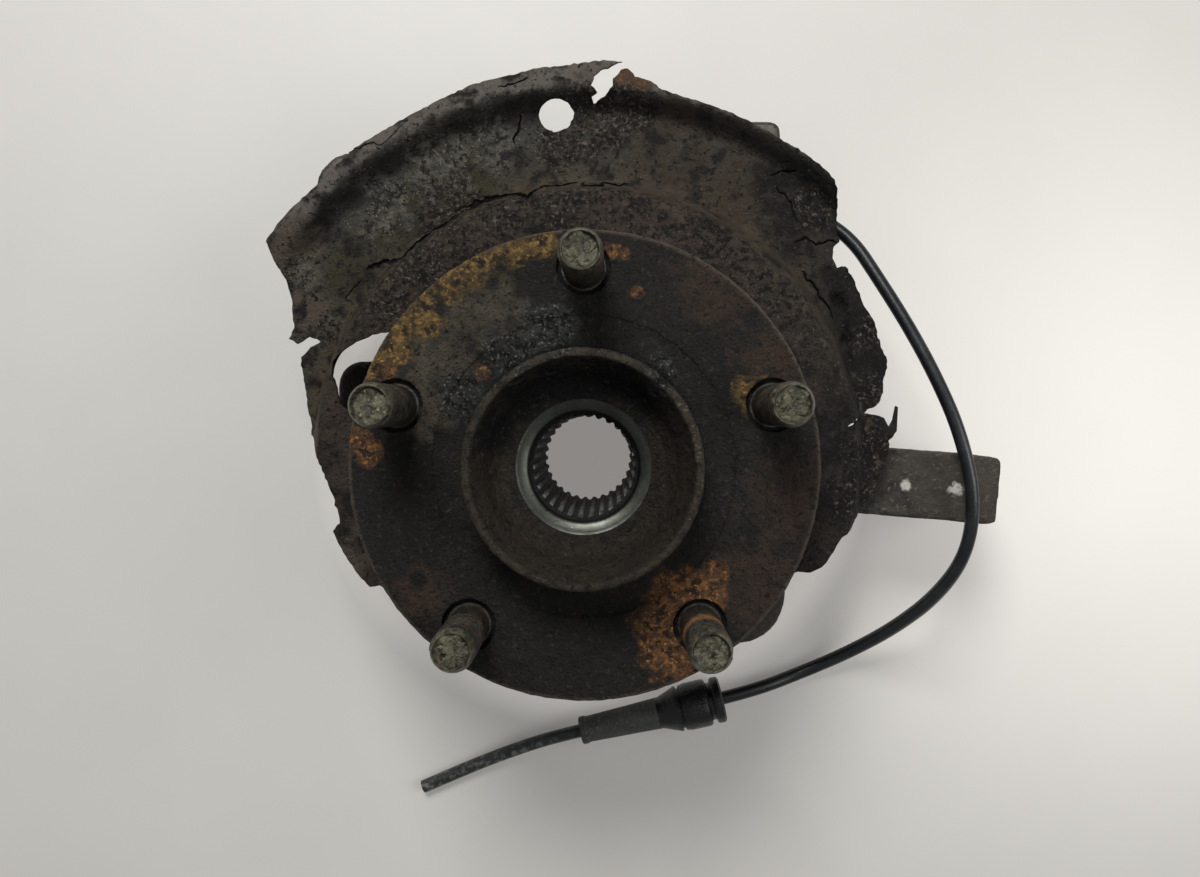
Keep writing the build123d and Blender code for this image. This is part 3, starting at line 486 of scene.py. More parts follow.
# ---------------- wheel-speed sensor
# A moulded plastic sensor, bolted to the pad behind the shield. Its nose reaches down to the
# magnet ring, sealed by a rubber ring, and its lead leaves at the outer end.

# moulded plastic: black, finely grained, grey with brake dust where it collects
moulded, *parts = new_material("moulded_sensor_plastic")
weather(*parts, "#1a1a1a", [
    ("#3b3733", 4, 0.45, 0.65), ("#57493a", 1.4, 0.62, 0.74)],
    [(1.0, 0.06), (0.3, 0.03)], (0.4, 0.7))
refinish("abs_sensor_body", moulded)

# ---------------- dust shield
# A pressed steel sheet, 1.2 mm thick: a flat pan behind the flange, a step down, a wide band and a
# folded rim. Rust has eaten its lower third away, cracked it along the step and torn its edges.
SHEET_T = 1.2
PAN_IN_R, PAN_R, STEP_R, WALL_R, CREST_R, RIM_R, SHEET_R = 49.3, 85, 93, 114.5, 121, 127, 130.2
PAN_Z, BAND_Z, CREST_Z, RIM_Z = -28.0, -44.2, -36.8, -38.6
FOLD_LEFT, FOLD_RIGHT = (152, 140), (38, 48)  # in degrees: where the fold fades in at each end
SHEET_STEPS, SHEET_RINGS = 540, 66
EDGE_STEP, WINDOW_STEP, EDGE_JAG, CRACK_STEP, CRACK_JAG = 1.3, 1.5, 0.4, 1.2, 0.8
FOOT_R, FOOT_ANGLES = 63.0, range(-40, -140, -8)
CRACK_SKIN, TEAR_WIDTH, CREASE_REACH = 0.45, 1.0, 3.2
CUT_TOP_Z, CUT_FOOT_Z = -15.0, -60.0
ZONES_FROM_R, ZONES_TO_R, ZONE_WANDER = 80, 132, 9
IMAGE_CENTRE_PX = (600.0, 438.5)
DRAIN_PX, DRAIN_R_PX, DRAIN_POINTS = (556, 114), 17.0, 48

# Outlines as the camera sees them, in pixels of a frame 1200 wide and 877 high. A crack also has
# its width in mm, a crease its depth in mm, and a pitted patch its reach in mm.
SHEET_LEFT_PX = [
    (380, 586), (370, 587), (362, 578), (348, 559), (338, 541), (334, 531), (340, 523),
    (340, 517), (332, 492), (321, 463), (317, 445), (312, 435), (312, 422), (308, 410),
    (305, 388), (301, 365), (301, 357), (311, 348), (320, 341), (309, 337), (297, 344),
    (289, 339), (294, 328), (292, 300), (286, 280), (274, 260), (266, 241)]
SHEET_TOP_PX = [
    (291, 209), (314, 187), (352, 150), (372, 138), (403, 119), (441, 99), (472, 85), (505, 76),
    (538, 68), (574, 64), (589, 62), (603, 60), (622, 61), (608, 68), (600, 70), (595, 76),
    (592, 84), (597, 92), (591, 95), (594, 104), (607, 93), (613, 86), (612, 78), (621, 70),
    (628, 68), (635, 77), (651, 81), (662, 90), (680, 96), (707, 104), (729, 112), (750, 122),
    (777, 137), (798, 149), (820, 164), (832, 176), (838, 188)]
SHEET_RIGHT_PX = [
    (838, 215), (837, 231), (840, 242), (833, 248), (833, 258), (837, 267), (846, 266),
    (853, 278), (864, 305), (875, 322), (881, 347), (887, 361), (887, 368), (884, 378),
    (883, 390), (881, 403), (872, 408), (864, 413), (875, 415), (884, 418), (889, 427)]
SPIKE_PX = [(893, 420), (896, 406), (898, 407), (897, 431)]
SHEET_LOWER_PX = [
    (890, 441), (888, 455), (882, 473), (873, 490), (863, 508), (851, 526), (841, 537),
    (831, 555), (824, 565), (810, 573), (798, 572)]
WINDOW_PX = [
    (400, 331), (389, 332), (372, 335), (356, 342), (345, 350), (335, 363), (334, 376),
    (337, 388), (341, 404), (350, 412), (380, 425), (410, 410), (425, 385), (420, 350)]
CRACKS_PX = [
    ([(366, 270), (384, 261), (403, 259), (412, 248), (423, 239), (436, 230), (450, 222),
      (459, 213), (474, 205), (490, 199), (504, 196), (518, 194), (528, 199), (542, 187),
      (560, 186), (579, 182)], 2.4),
    ([(583, 182), (585, 187), (602, 187), (604, 183), (618, 186), (629, 184)], 2.15),
    ([(344, 300), (352, 290), (362, 280)], 0.6),
    ([(306, 184), (324, 175), (336, 166), (349, 152), (370, 143), (382, 145), (395, 134),
      (405, 123)], 0.7),
    ([(497, 88), (512, 85), (530, 78)], 0.6),
    ([(521, 114), (519, 128), (515, 136), (515, 146)], 1.0),
    ([(768, 176), (782, 170), (797, 172)], 0.8),
    ([(774, 187), (784, 195), (791, 202), (793, 212), (799, 223)], 0.7),
    ([(794, 243), (806, 238), (816, 245), (829, 240), (838, 243)], 0.8),
    ([(801, 270), (807, 279), (814, 285), (820, 297), (829, 308), (834, 322)], 1.1)]
TEAR_PX = [(847, 426), (855, 421), (862, 417)]
CREASES_PX = [
    ((828, 272), (838, 300), 1.8), ((838, 300), (846, 340), 2.4), ((846, 340), (848, 372), 2.2),
    ((640, 193), (700, 214), 0.8), ((700, 214), (745, 236), 0.8), ((745, 236), (800, 292), 0.8),
    ((800, 292), (830, 350), 0.9), ((872, 330), (868, 362), 1.4)]
SOOTY_PX = [
    (800, 205), (822, 185), (830, 210), (792, 240), (775, 190), (868, 395), (870, 445),
    (856, 320), (870, 360), (845, 290), (850, 470), (836, 500), (838, 420), (834, 455)]
PITTED_PX = [
    (455, 215, 16), (420, 262, 14), (385, 290, 12), (500, 212, 10), (560, 205, 10),
    (560, 146, 11), (600, 130, 14), (588, 108, 12), (620, 108, 12), (330, 330, 6),
    (864, 455, 13), (856, 492, 11), (868, 392, 8), (812, 212, 9), (866, 335, 7)]


def under_pixel(pixel, height):
    """The point at a height, in mm, that the camera sees at a pixel."""
    ray = Vector(((pixel[0] - IMAGE_CENTRE_PX[0]) / CAMERA_FOCUS_PX,
                  (IMAGE_CENTRE_PX[1] - pixel[1]) / CAMERA_FOCUS_PX, -1.0))
    ray.rotate(camera.rotation_euler)
    return Vector(CAMERA_PLACE) + ray * (height - CAMERA_PLACE[2]) / ray.z


def ramp(value, start, end):
    """How far value has come from start to end, eased, from 0 to 1."""
    part = min(1.0, max(0.0, (value - start) / (end - start)))
    return part * part * (3 - 2 * part)


def sheet_height(x, y):
    """The height of the pressed sheet's top face, in mm."""
    r = hypot(x, y)
    angle = degrees(atan2(y, x))
    fold = ramp(angle, *FOLD_LEFT) * ramp(angle, *FOLD_RIGHT)
    height = PAN_Z + (BAND_Z - PAN_Z) * ramp(r, PAN_R, STEP_R)
    height += (CREST_Z - BAND_Z) * ramp(r, WALL_R, CREST_R) * fold
    return height + (RIM_Z - CREST_Z) * ramp(r, CREST_R, RIM_R) * fold


def on_sheet(pixel):
    """The (x, y) of the sheet, in mm, that the camera sees at a pixel."""
    height = BAND_Z
    for _ in range(6):
        spot = under_pixel(pixel, height)
        height = (height + sheet_height(spot.x, spot.y)) / 2
    return Vector((spot.x, spot.y))


def ragged_line(points, step, jag):
    """An open line of points made finer, and jagged as rust leaves an edge."""
    line = []
    for a, b in zip(points, points[1:]):
        across = Vector((a.y - b.y, b.x - a.x)).normalized()
        parts = max(1, round((b - a).length / step))
        for part in range(parts):
            spot = a.lerp(b, part / parts)
            wobble = noise.noise((spot.x * 0.9, spot.y * 0.9, 0)) + 0.5 * noise.noise(
                (spot.x * 2.3, spot.y * 2.3, 7))
            line.append(spot + across * wobble * jag)
    return line + [points[-1]]


def from_axis(tree, place):
    """The distance of each place from the hub axis."""
    flat = add_node(tree, "VectorMath", {0: place, 1: (1, 1, 0)}, operation="MULTIPLY")
    return add_node(tree, "VectorMath", {0: flat}, operation="LENGTH")


def raise_prism(face, height):
    """Extrude a flat face straight up by a height in mm."""
    open_mesh(face)
    bpy.ops.mesh.extrude_region_move(TRANSFORM_OT_translate={"value": (0, 0, height * MM)})
    close_mesh()


def prism(name, outline, skin=None):
    """An upright prism with this outline in mm. It goes through the sheet, or down to a skin."""
    pick()
    bpy.ops.mesh.primitive_circle_add(vertices=len(outline), radius=MM, fill_type="NGON")
    cutter = bpy.context.object
    cutter.name = name
    for vertex, spot in zip(cutter.data.vertices, outline):
        foot = CUT_FOOT_Z if skin is None else sheet_height(spot.x, spot.y) - SHEET_T + skin
        vertex.co = Vector((spot.x, spot.y, foot)) * MM
    raise_prism(cutter, CUT_TOP_Z - CUT_FOOT_Z)
    return cutter


def crack_outline(line, width):
    """The outline of a crack: widest in the middle, and pointed at both ends."""
    line = ragged_line(line, CRACK_STEP, CRACK_JAG)
    sides = ([], [])
    for index in range(1, len(line) - 1):
        along = (line[index + 1] - line[index - 1]).normalized()
        across = Vector((-along.y, along.x))
        gape = width * (0.45 + 0.55 * sin(pi * index / (len(line) - 1)))
        gape *= 0.85 + 0.6 * noise.noise((index * 0.7, width * 50, 3))
        sides[0].append(line[index] + across * gape / 2)
        sides[1].append(line[index] - across * gape / 2)
    return [line[0]] + sides[0] + [line[-1]] + sides[1][::-1]


def cut_away(piece, cutters, material_mode="INDEX"):
    """Cut bodies out of a piece, and throw the cutters away."""
    pick(*cutters[::-1])
    if len(cutters) > 1:
        bpy.ops.object.join()
    apply_modifier(piece, "BOOLEAN", object=cutters[0], operation="DIFFERENCE", solver="EXACT",
                   material_mode=material_mode)
    bpy.data.objects.remove(cutters[0])


# the pressed sheet before rust: a flat grid laid round the hub axis, then given its thickness
pick()
bpy.ops.mesh.primitive_grid_add(x_subdivisions=SHEET_STEPS, y_subdivisions=SHEET_RINGS, size=1)
shield = bpy.context.object
shield.name = shield.data.name = "dust_shield_sheet"
for index, vertex in enumerate(shield.data.vertices):
    ring, step = divmod(index, SHEET_STEPS + 1)
    r = PAN_IN_R + (SHEET_R - PAN_IN_R) * ring / SHEET_RINGS
    x, y = r * cos(2 * pi * step / SHEET_STEPS), r * sin(2 * pi * step / SHEET_STEPS)
    vertex.co = Vector((x, y, sheet_height(x, y))) * MM
creases = [(on_sheet(a), on_sheet(b), depth) for a, b, depth in CREASES_PX]
for vertex in shield.data.vertices:
    spot = Vector(vertex.co.xy) / MM
    for start, end, depth in creases:
        along = end - start
        part = min(1.0, max(0.0, (spot - start).dot(along) / along.length_squared))
        away = (spot - start - along * part).length
        vertex.co.z -= depth * (1 - ramp(away, 0, CREASE_REACH)) * MM
open_mesh(shield)
bpy.ops.mesh.remove_doubles(threshold=0.01 * MM)
close_mesh()
if shield.data.polygons[0].normal.z < 0:
    shield.data.flip_normals()
apply_modifier(shield, "SOLIDIFY", thickness=SHEET_T * MM, offset=-1.0)

# Rusted sheet: it reads as bare old steel that has scaled. The pan is purple-brown and pitted, a
# tan strip follows the step, the band is grey-green with pale crust, and the rim has a ring of
# painted shade on its inner slope and is pale beyond it, partly rubbed and partly painted light.
pit_spots = [(on_sheet((x, y)), reach) for x, y, reach in PITTED_PX]
sheet_rust, tree, shader, place = new_material("scaled_rust_on_pressed_sheet")
wander = add_node(tree, "TexNoise", {"Vector": place, "Scale": per_mm(9), "Detail": 5.0})
wandered = add_node(tree, "Math", {0: wander, 1: ZONE_WANDER * MM, 2: from_axis(tree, place)},
                    operation="MULTIPLY_ADD")
across = add_node(tree, "MapRange", {"Value": wandered,
                  "From Min": (ZONES_FROM_R + ZONE_WANDER / 2) * MM,
                  "From Max": (ZONES_TO_R + ZONE_WANDER / 2) * MM})
zones = add_node(tree, "ValToRGB", {"Fac": across})
# the dark stops from 115.5 to 120 mm are painted shade on the rim's inner slope; the pale rim
# beyond is partly rubbed and partly painted light
zone_stops = [(80, "#39302a"), (86.5, "#3b322a"), (88.5, "#4d4232"), (95, "#403b30"),
              (99, "#393730"), (112, "#3a3832"), (115.5, "#201f1d"), (120, "#242220"),
              (122, "#55504a"), (131, "#5d564e")]
while len(zones.color_ramp.elements) < len(zone_stops):
    zones.color_ramp.elements.new(1.0)
for stop, (r, colour) in zip(zones.color_ramp.elements, zone_stops):
    stop.position = (r - ZONES_FROM_R) / (ZONES_TO_R - ZONES_FROM_R)
    stop.color = linear(colour)
axes = add_node(tree, "SeparateXYZ", {"Vector": place}).outputs
rightward = add_node(tree, "MapRange", {"Value": axes["X"], "From Min": 50 * MM,
                     "From Max": 92 * MM, "To Max": 0.84})
darker = add_node(tree, "Mix", {"Factor": rightward, 6: zones, 7: linear("#171613")},
                  data_type="RGBA")
corner, lump, crusted, olive, browned, pitted, sooty = [
    patch_mask(tree, place, wander, spots) for spots in (
        [(-96, 70, 13), (-93, 50, 10), (-80, -30, 12)],
        [(12, 126, 5), (18, 125, 5), (25, 123, 4)],
        [(-68, 84, 13), (-50, 97, 15), (-30, 104, 12), (-95, 62, 7)],
        [(-78, 62, 12), (-66, 74, 12), (-52, 84, 12), (-36, 92, 12)],
        [(28, 100, 20), (50, 88, 18), (66, 70, 14), (74, 52, 10)],
        [(*spot, reach * 0.9) for spot, reach in pit_spots],
        [(*on_sheet(pixel), 11) for pixel in SOOTY_PX])]
rubbed = add_node(tree, "Mix", {"Factor": corner, 6: darker, 7: linear("#4b4339")},
                  data_type="RGBA")
pan = add_node(tree, "MapRange", {"Value": wandered, "From Min": 93 * MM, "From Max": 90 * MM})
upper = add_node(tree, "MapRange", {"Value": axes["Y"], "From Min": 18 * MM,
                 "From Max": 45 * MM, "To Min": 0.25})
pan = add_node(tree, "Math", {0: pan, 1: upper}, operation="MULTIPLY")
crumbled = add_node(tree, "Math", {0: pitted, 1: pan}, operation="MAXIMUM")
weather(tree, shader, place, rubbed, [
    ("#1f1d1a", 12, 0.52, 0.7), ("#39312a", 5, 0.56, 0.72),
    ("#322f1f", 7, 0.3, 0.6, olive), ("#382f26", 9, 0.25, 0.55, browned),
    ("#1a1814", 6, 0.5, 0.64), ("#131210", 5, 0.35, 0.55, sooty),
    ("#57554c", 4.0, 0.42, 0.66, crusted), ("#1d1c19", 2.4, 0.52, 0.6, crusted),
    ("#85827a", 0.8, 0.6, 0.68, crusted), ("#100d0b", 1.8, 0.5, 0.6, crumbled),
    ("#0b0a09", 3.4, 0.5, 0.56, pitted), ("#645d55", 1.4, 0.56, 0.64, pitted),
    ("#504c46", 0.9, 0.64, 0.72, sooty), ("#453b31", 3.4, 0.56, 0.64, crumbled),
    ("#5f5548", 1.0, 0.6, 0.68, crumbled), ("#0e0d0c", 1.5, 0.58, 0.64),
    ("#625d54", 0.8, 0.64, 0.7), ("#473528", 3.0, 0.2, 0.4, lump),
    ("#6a4c34", 1.3, 0.5, 0.66, lump)],
    [(9.0, 1.2), (3.0, 2.2, crumbled), (3.4, 2.4, sooty), (2.2, 1.5), (0.8, 0.8)],
    (0.45, 0.95), {"Specular IOR Level": 0.2})

# torn edge: where the sheet has been eaten through, its edge reads as soft black scale; the
# cracks stop short of the underside, and their black walls and floor are painted shade
torn, *parts = new_material("torn_edge_scale_and_painted_crack_shade")
weather(*parts, "#0c0b0a", [
    ("#1f1914", 1.4, 0.52, 0.7)], [(0.8, 0.4)], (0.8, 1.0), {"Specular IOR Level": 0.15})

# what rust left of it
shield.data.materials.append(sheet_rust)
left_side, top_side, right_side, spike, lower_side, window, tear = [
    [on_sheet(pixel) for pixel in line] for line in (
        SHEET_LEFT_PX, SHEET_TOP_PX, SHEET_RIGHT_PX, SPIKE_PX, SHEET_LOWER_PX, WINDOW_PX, TEAR_PX)]
foot = [FOOT_R * Vector((cos(radians(angle)), sin(radians(angle)))) for angle in FOOT_ANGLES]
outline = ragged_line([*left_side, *top_side, *right_side], EDGE_STEP, EDGE_JAG) + spike
outline += ragged_line([*lower_side, *foot, left_side[0]], EDGE_STEP, EDGE_JAG)
kept = prism("kept_sheet", outline[:-1])
apply_modifier(shield, "BOOLEAN", object=kept, operation="INTERSECT", solver="EXACT")
bpy.data.objects.remove(kept)
drain = [on_sheet((DRAIN_PX[0] + DRAIN_R_PX * cos(2 * pi * i / DRAIN_POINTS),
                   DRAIN_PX[1] - DRAIN_R_PX * sin(2 * pi * i / DRAIN_POINTS)))
         for i in range(DRAIN_POINTS)]
gaps = [prism("window", ragged_line(window + window[:1], WINDOW_STEP, EDGE_JAG)[:-1]),
        prism("drain", drain)]
gaps += [prism("crack", crack_outline([on_sheet(pixel) for pixel in line], width), CRACK_SKIN)
         for line, width in CRACKS_PX]
gaps += [prism("tear", crack_outline(tear, TEAR_WIDTH))]
# in the cracks, the black floors and walls are painted shade standing in for the depth of a
# through crack
for gap in gaps:
    gap.data.materials.append(torn)
cut_away(shield, gaps, "TRANSFER")

# dents all over, and deep pits where the scale has flaked
flaked = shield.vertex_groups.new(name="flaked")
for vertex in shield.data.vertices:
    spot = Vector(vertex.co.xy) / MM
    flaked.add([vertex.index], max(1 - ramp((spot - centre).length, reach * 0.6, reach * 1.3)
                                   for centre, reach in pit_spots), "REPLACE")
roughen(shield, "sheet_dents", 22.0, 0.5)
roughen(shield, "sheet_scale", 4.0, 0.3)
roughen(shield, "sheet_pits", 2.4, 1.6, 0.6, "flaked")
shield.data.shade_smooth()

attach(shield, "knuckle")
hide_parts("dust_shield")

# ---------------- hub flange
# A forged and turned steel hub: a round flange with five stud holes, a centring nose, a bowl
# down to the ground seat of the axle nut, and a stem with a broached spline. Years of brake dust
# and rust sit on everything but the seat and the spline.
FLANGE_R, FLANGE_T, FLANGE_EDGE = 68.5, 10.0, 0.8
NOSE_R, NOSE_H, NOSE_WALL = 33.55, 17.0, 3.0
FACE_RELIEF_R, FACE_RELIEF = 44.0, 0.6
SEAT_R, SEAT_Z = 19.5, 1.5
BOWL_FOOT_R, BOWL_FOOT_Z = 26.5, 6.5
SPLINE_TIP_R, SPLINE_ROOT_R, SPLINE_TEETH, BROACH_CLEAR = 14.3, 15.15, 30, 2
LEAD_IN_R, LEAD_IN_Z = 15.45, -1.6
SHOULDER_R, STEM_R, STEM_TOP_Z, STEM_END_Z = 27.5, 20.0, -24.0, -62.0
STUD_CIRCLE_R, STUD_COUNT, STUD_FIRST = 57.15, 5, 90
STUD_RELIEF_R, STUD_RELIEF, CUTTER_H = 7.7, 1.6, 10
TURN_STEPS = 300
PROFILE_STEP = 1.4

nose_inner = NOSE_R - NOSE_WALL
hub_corners = [
    (SPLINE_TIP_R - 1, LEAD_IN_Z - 1.6), (SPLINE_TIP_R - 1, STEM_END_Z), (STEM_R - 1, STEM_END_Z),
    (STEM_R, STEM_END_Z + 1), (STEM_R, STEM_TOP_Z), (SHOULDER_R, STEM_TOP_Z),
    (SHOULDER_R, -FLANGE_T - 5), (SHOULDER_R + 1.5, -FLANGE_T - 1.5), (SHOULDER_R + 5, -FLANGE_T),
    (FLANGE_R - FLANGE_EDGE, -FLANGE_T), (FLANGE_R, -FLANGE_T + FLANGE_EDGE),
    (FLANGE_R, -FLANGE_EDGE), (FLANGE_R - FLANGE_EDGE, 0), (FACE_RELIEF_R, 0),
    (FACE_RELIEF_R - 0.4, -FACE_RELIEF), (NOSE_R + 1.0, -FACE_RELIEF), (NOSE_R, 0.4),
    (NOSE_R, NOSE_H - 1.3), (NOSE_R - 0.4, NOSE_H - 0.4), (NOSE_R - 1.3, NOSE_H),
    (nose_inner + 0.5, NOSE_H), (nose_inner, NOSE_H - 0.6), (BOWL_FOOT_R + 1.2, BOWL_FOOT_Z + 4),
    (BOWL_FOOT_R - 0.6, BOWL_FOOT_Z - 1.2), (BOWL_FOOT_R - 3.0, SEAT_Z + 1.2),
    (SEAT_R + 0.5, SEAT_Z + 0.7), (SEAT_R, SEAT_Z + 0.2), (SEAT_R - 0.8, SEAT_Z),
    (LEAD_IN_R + 1.3, SEAT_Z - 0.3), (LEAD_IN_R + 0.2, SEAT_Z - 1.5), (LEAD_IN_R, LEAD_IN_Z),
]
hub = turned("hub_forging", fine_profile(hub_corners, PROFILE_STEP), TURN_STEPS)

# the broach: a prism with a tooth-shaped outline, two points at each tip and two at each root
pick()
bpy.ops.mesh.primitive_circle_add(vertices=SPLINE_TEETH * 4, radius=SPLINE_ROOT_R * MM,
                                  fill_type="NGON",
                                  location=(0, 0, (STEM_END_Z - BROACH_CLEAR) * MM))
broach = bpy.context.object
place_in_mesh(broach)
for vertex in broach.data.vertices:
    if vertex.index % 4 >= 2:
        shrink = SPLINE_TIP_R / SPLINE_ROOT_R
        vertex.co = (vertex.co.x * shrink, vertex.co.y * shrink, vertex.co.z)
raise_prism(broach, SEAT_Z - STEM_END_Z + 2 * BROACH_CLEAR)
cut_away(hub, [broach])


def on_circle(radius, angle, height=0.0):
    """A point in metres at a radius in mm and an angle in degrees round the hub axis."""
    return Vector((radius * cos(radians(angle)), radius * sin(radians(angle)), height)) * MM


# each stud stands in a shallow turned relief
stud_angles = [STUD_FIRST + 360 / STUD_COUNT * stud for stud in range(STUD_COUNT)]
reliefs = []
for angle in stud_angles:
    spot = on_circle(STUD_CIRCLE_R, angle, CUTTER_H / 2 - STUD_RELIEF)
    bpy.ops.mesh.primitive_cylinder_add(vertices=40, radius=STUD_RELIEF_R * MM,
                                        depth=CUTTER_H * MM, location=spot)
    reliefs.append(bpy.context.object)
cut_away(hub, reliefs)


def is_bore(spot):
    """Is this spot of the hub on the spline?"""
    return hypot(spot.x, spot.y) < (LEAD_IN_R + 0.1) * MM


def is_seat(spot):
    """Is this spot of the hub on the ground seat of the axle nut?"""
    return hypot(spot.x, spot.y) < (SEAT_R + 0.2) * MM and spot.z > (SEAT_Z - 2) * MM


# rust scale stands up unevenly, except on the seat and the spline
scaly = hub.vertex_groups.new(name="scaly")
scaly.add([v.index for v in hub.data.vertices if not is_bore(v.co) and not is_seat(v.co)
           and v.co.z > -FLANGE_T * 1.05 * MM], 1.0, "REPLACE")
roughen(hub, "hub_lumps", 5.0, 0.4, 0.75, "scaly")
roughen(hub, "hub_grain", 2.2, 0.4, 0.75, "scaly")
hub.data.shade_smooth()
apply_modifier(hub, "WEIGHTED_NORMAL")

# Forged steel under rust: it reads as oily black-green scale with brown rust towards the rim,
# ochre and orange blooms in ragged patches, and grey crumbs of salt in two places. Painted shade
# darkens the top of the bowl, the corner at the nose's foot, the ring round the seat and the stud
# reliefs; the lip and the palest rust specks are partly painted highlight.
OCHRE_PATCHES = [
    (-60.8, 30.1, 6), (-54.5, 40.5, 7), (-47.9, 47.3, 6), (-39.5, 53.5, 6), (-30.7, 58.2, 7),
    (-19.5, 62.0, 6), (-11, 64.0, 5), (-53.5, 33.0, 5), (-45.0, 41.0, 5), (47.5, 21.5, 6),
    (52.5, 17.0, 4)]
ORANGE_PATCHES = [
    (-64.5, 8.3, 4), (-62.5, 4.3, 4.5), (21.5, -45.0, 8), (25.0, -38.0, 8), (32.0, -35.0, 7),
    (37.0, -37.5, 5), (24.0, -53.0, 9), (29.5, -58.0, 6), (38.5, -31.0, 4), (8.5, 61.8, 2.4),
    (12.0, 61.0, 2.0), (15.2, 50.2, 2.0), (-29.3, 27.3, 2.6), (-57, 27, 3)]
SOOT_PATCHES = [(-48.5, -32.9, 3)]
SHADE_PATCHES = [
    (-6.0, 24.0, 9), (6.0, 25.0, 9), (-17.0, 20.0, 8), (17.0, 20.0, 8), (-24.0, 10.0, 7),
    (0.0, 20.0, 9)]
SALT_PATCHES = [(-10.7, 38.7, 9), (-22.0, 33.0, 8), (-36.0, 20.0, 8), (22.0, 26.0, 6)]
BROWN_PATCHES = [
    (-47.0, -36.0, 9), (60.0, -10.0, 16), (55.0, 30.0, 14), (38.0, 52.0, 14), (50.0, -35.0, 14)]
GREY_PATCHES = [(-48.0, 20.0, 14), (-42.0, 32.0, 12), (-28.0, 44.0, 12)]
# pale patches on the nose's lip: partly rubbed wear, partly a painted highlight on its right side
LIP_WEAR_AND_HIGHLIGHT_PATCHES = [(30.5, 10.5, 3), (31.5, 4.0, 2.6), (27.5, 17.0, 3), (32.0, -4.0, 2.4)]
stud_patches = [(*(on_circle(STUD_CIRCLE_R, angle).xy / MM), 14) for angle in stud_angles]
forging, tree, shader, place = new_material("rusted_forged_steel")
ragged = add_node(tree, "TexNoise", {"Vector": place, "Scale": per_mm(5), "Detail": 5.0})
ochre, orange, soot, shade, salt, brown, grey, rubbed, round_studs = [
    patch_mask(tree, place, ragged, spots) for spots in (
        OCHRE_PATCHES, ORANGE_PATCHES, SOOT_PATCHES, SHADE_PATCHES, SALT_PATCHES, BROWN_PATCHES,
        GREY_PATCHES, LIP_WEAR_AND_HIGHLIGHT_PATCHES, stud_patches)]

# parts of the hub by their distance from its axis, and by their height
radius = from_axis(tree, place)
height = add_node(tree, "SeparateXYZ", {"Vector": place}).outputs["Z"]
# under_lip and low mark the corner at the nose's foot and the ring round the seat, which take
# painted shade
bowl, inside, edge, under_lip, sunk, low = [
    add_node(tree, "MapRange", {"Value": measure, "From Min": start * MM, "From Max": full * MM})
    for measure, start, full in (
        (radius, nose_inner + 1, nose_inner), (radius, NOSE_R + 1, NOSE_R),
        (radius, FLANGE_R - 1.6, FLANGE_R - 0.7), (radius, NOSE_R + 2.85, NOSE_R + 1.25),
        (height, -0.8, -1.1), (height, 2.6, 0.4))]
lip = add_node(tree, "Math", {0: inside, 1: bowl}, operation="SUBTRACT")
# in and round the stud reliefs, below the flange face, the steel takes painted shade, near black
lip_wear_and_highlight, painted_relief_shade, painted_crevice_shade = [
    add_node(tree, "Math", {0: where, 1: here}, operation="MULTIPLY")
    for where, here in ((rubbed, lip), (sunk, round_studs), (under_lip, low))]
weather(tree, shader, place, "#13120e", [
    ("#1b1915", 15, 0.4, 0.6), ("#32251c", 6, 0.25, 0.55, brown),
    ("#464034", 7, 0.3, 0.6, grey), ("#463d33", 3, 0.2, 0.5, edge),
    ("#261f16", 6, 0.25, 0.55, bowl), ("#090a08", 8, 0.1, 0.4, shade),
    ("#362f25", 4, 0.3, 0.6, lip), ("#0a0a09", 1.8, 0.56, 0.64),
    ("#35312a", 1.5, 0.58, 0.68), ("#57524a", 0.8, 0.63, 0.68),
    ("#060605", 0.8, 0.59, 0.64), ("#3d311d", 3.0, 0.15, 0.42, ochre),
    ("#554427", 5.5, 0.42, 0.56, ochre), ("#7d6035", 1.8, 0.5, 0.62, ochre),
    # the palest ochre and orange specks, here and below, are partly paler rust and partly painted
    # highlight on the rust lumps
    ("#1c1812", 3.4, 0.5, 0.6, ochre), ("#9f7b42", 1.2, 0.59, 0.68, ochre),
    ("#442f1f", 3.1, 0.1, 0.35, orange), ("#5b3e25", 5.0, 0.42, 0.58, orange),
    ("#85592f", 1.8, 0.51, 0.62, orange), ("#21170f", 3.4, 0.5, 0.58, orange),
    ("#130e0a", 1.2, 0.6, 0.65, orange), ("#a07544", 1.0, 0.6, 0.68, orange),
    ("#0a0a08", 2.0, 0.2, 0.4, soot),
    ("#454641", 2.6, 0.4, 0.56, salt), ("#0c0c0b", 1.6, 0.54, 0.6, salt),
    ("#94948b", 0.9, 0.58, 0.66, salt),
    ("#736b5d", 0.8, 0.64, 0.72, lip), ("#6b6256", 0.9, 0.5, 0.7, lip_wear_and_highlight),
    ("#6a665c", 0.6, 0.7, 0.78),
    ("#080807", 2.0, 0.1, 0.4, painted_crevice_shade), ("#050505", 2.0, 0.0, 0.1, painted_relief_shade)],
    [(4.5, 1.2), (1.6, 1.2), (1.6, 2.8, salt), (0.7, 0.7)], (0.28, 0.85),
    {"Specular IOR Level": 0.22})

# ground seat: dull bright steel, faintly stained, that catches the window in two crescents
ground, *parts = new_material("ground_steel_seat")
weather(*parts, "#484a44", [
    ("#3f403b", 5.0, 0.45, 0.65), ("#2c2822", 1.5, 0.62, 0.7),
    ("#8b8d85", 0.9, 0.68, 0.74)], [(0.7, 0.05)], (0.32, 0.46), {"Metallic": 1.0})

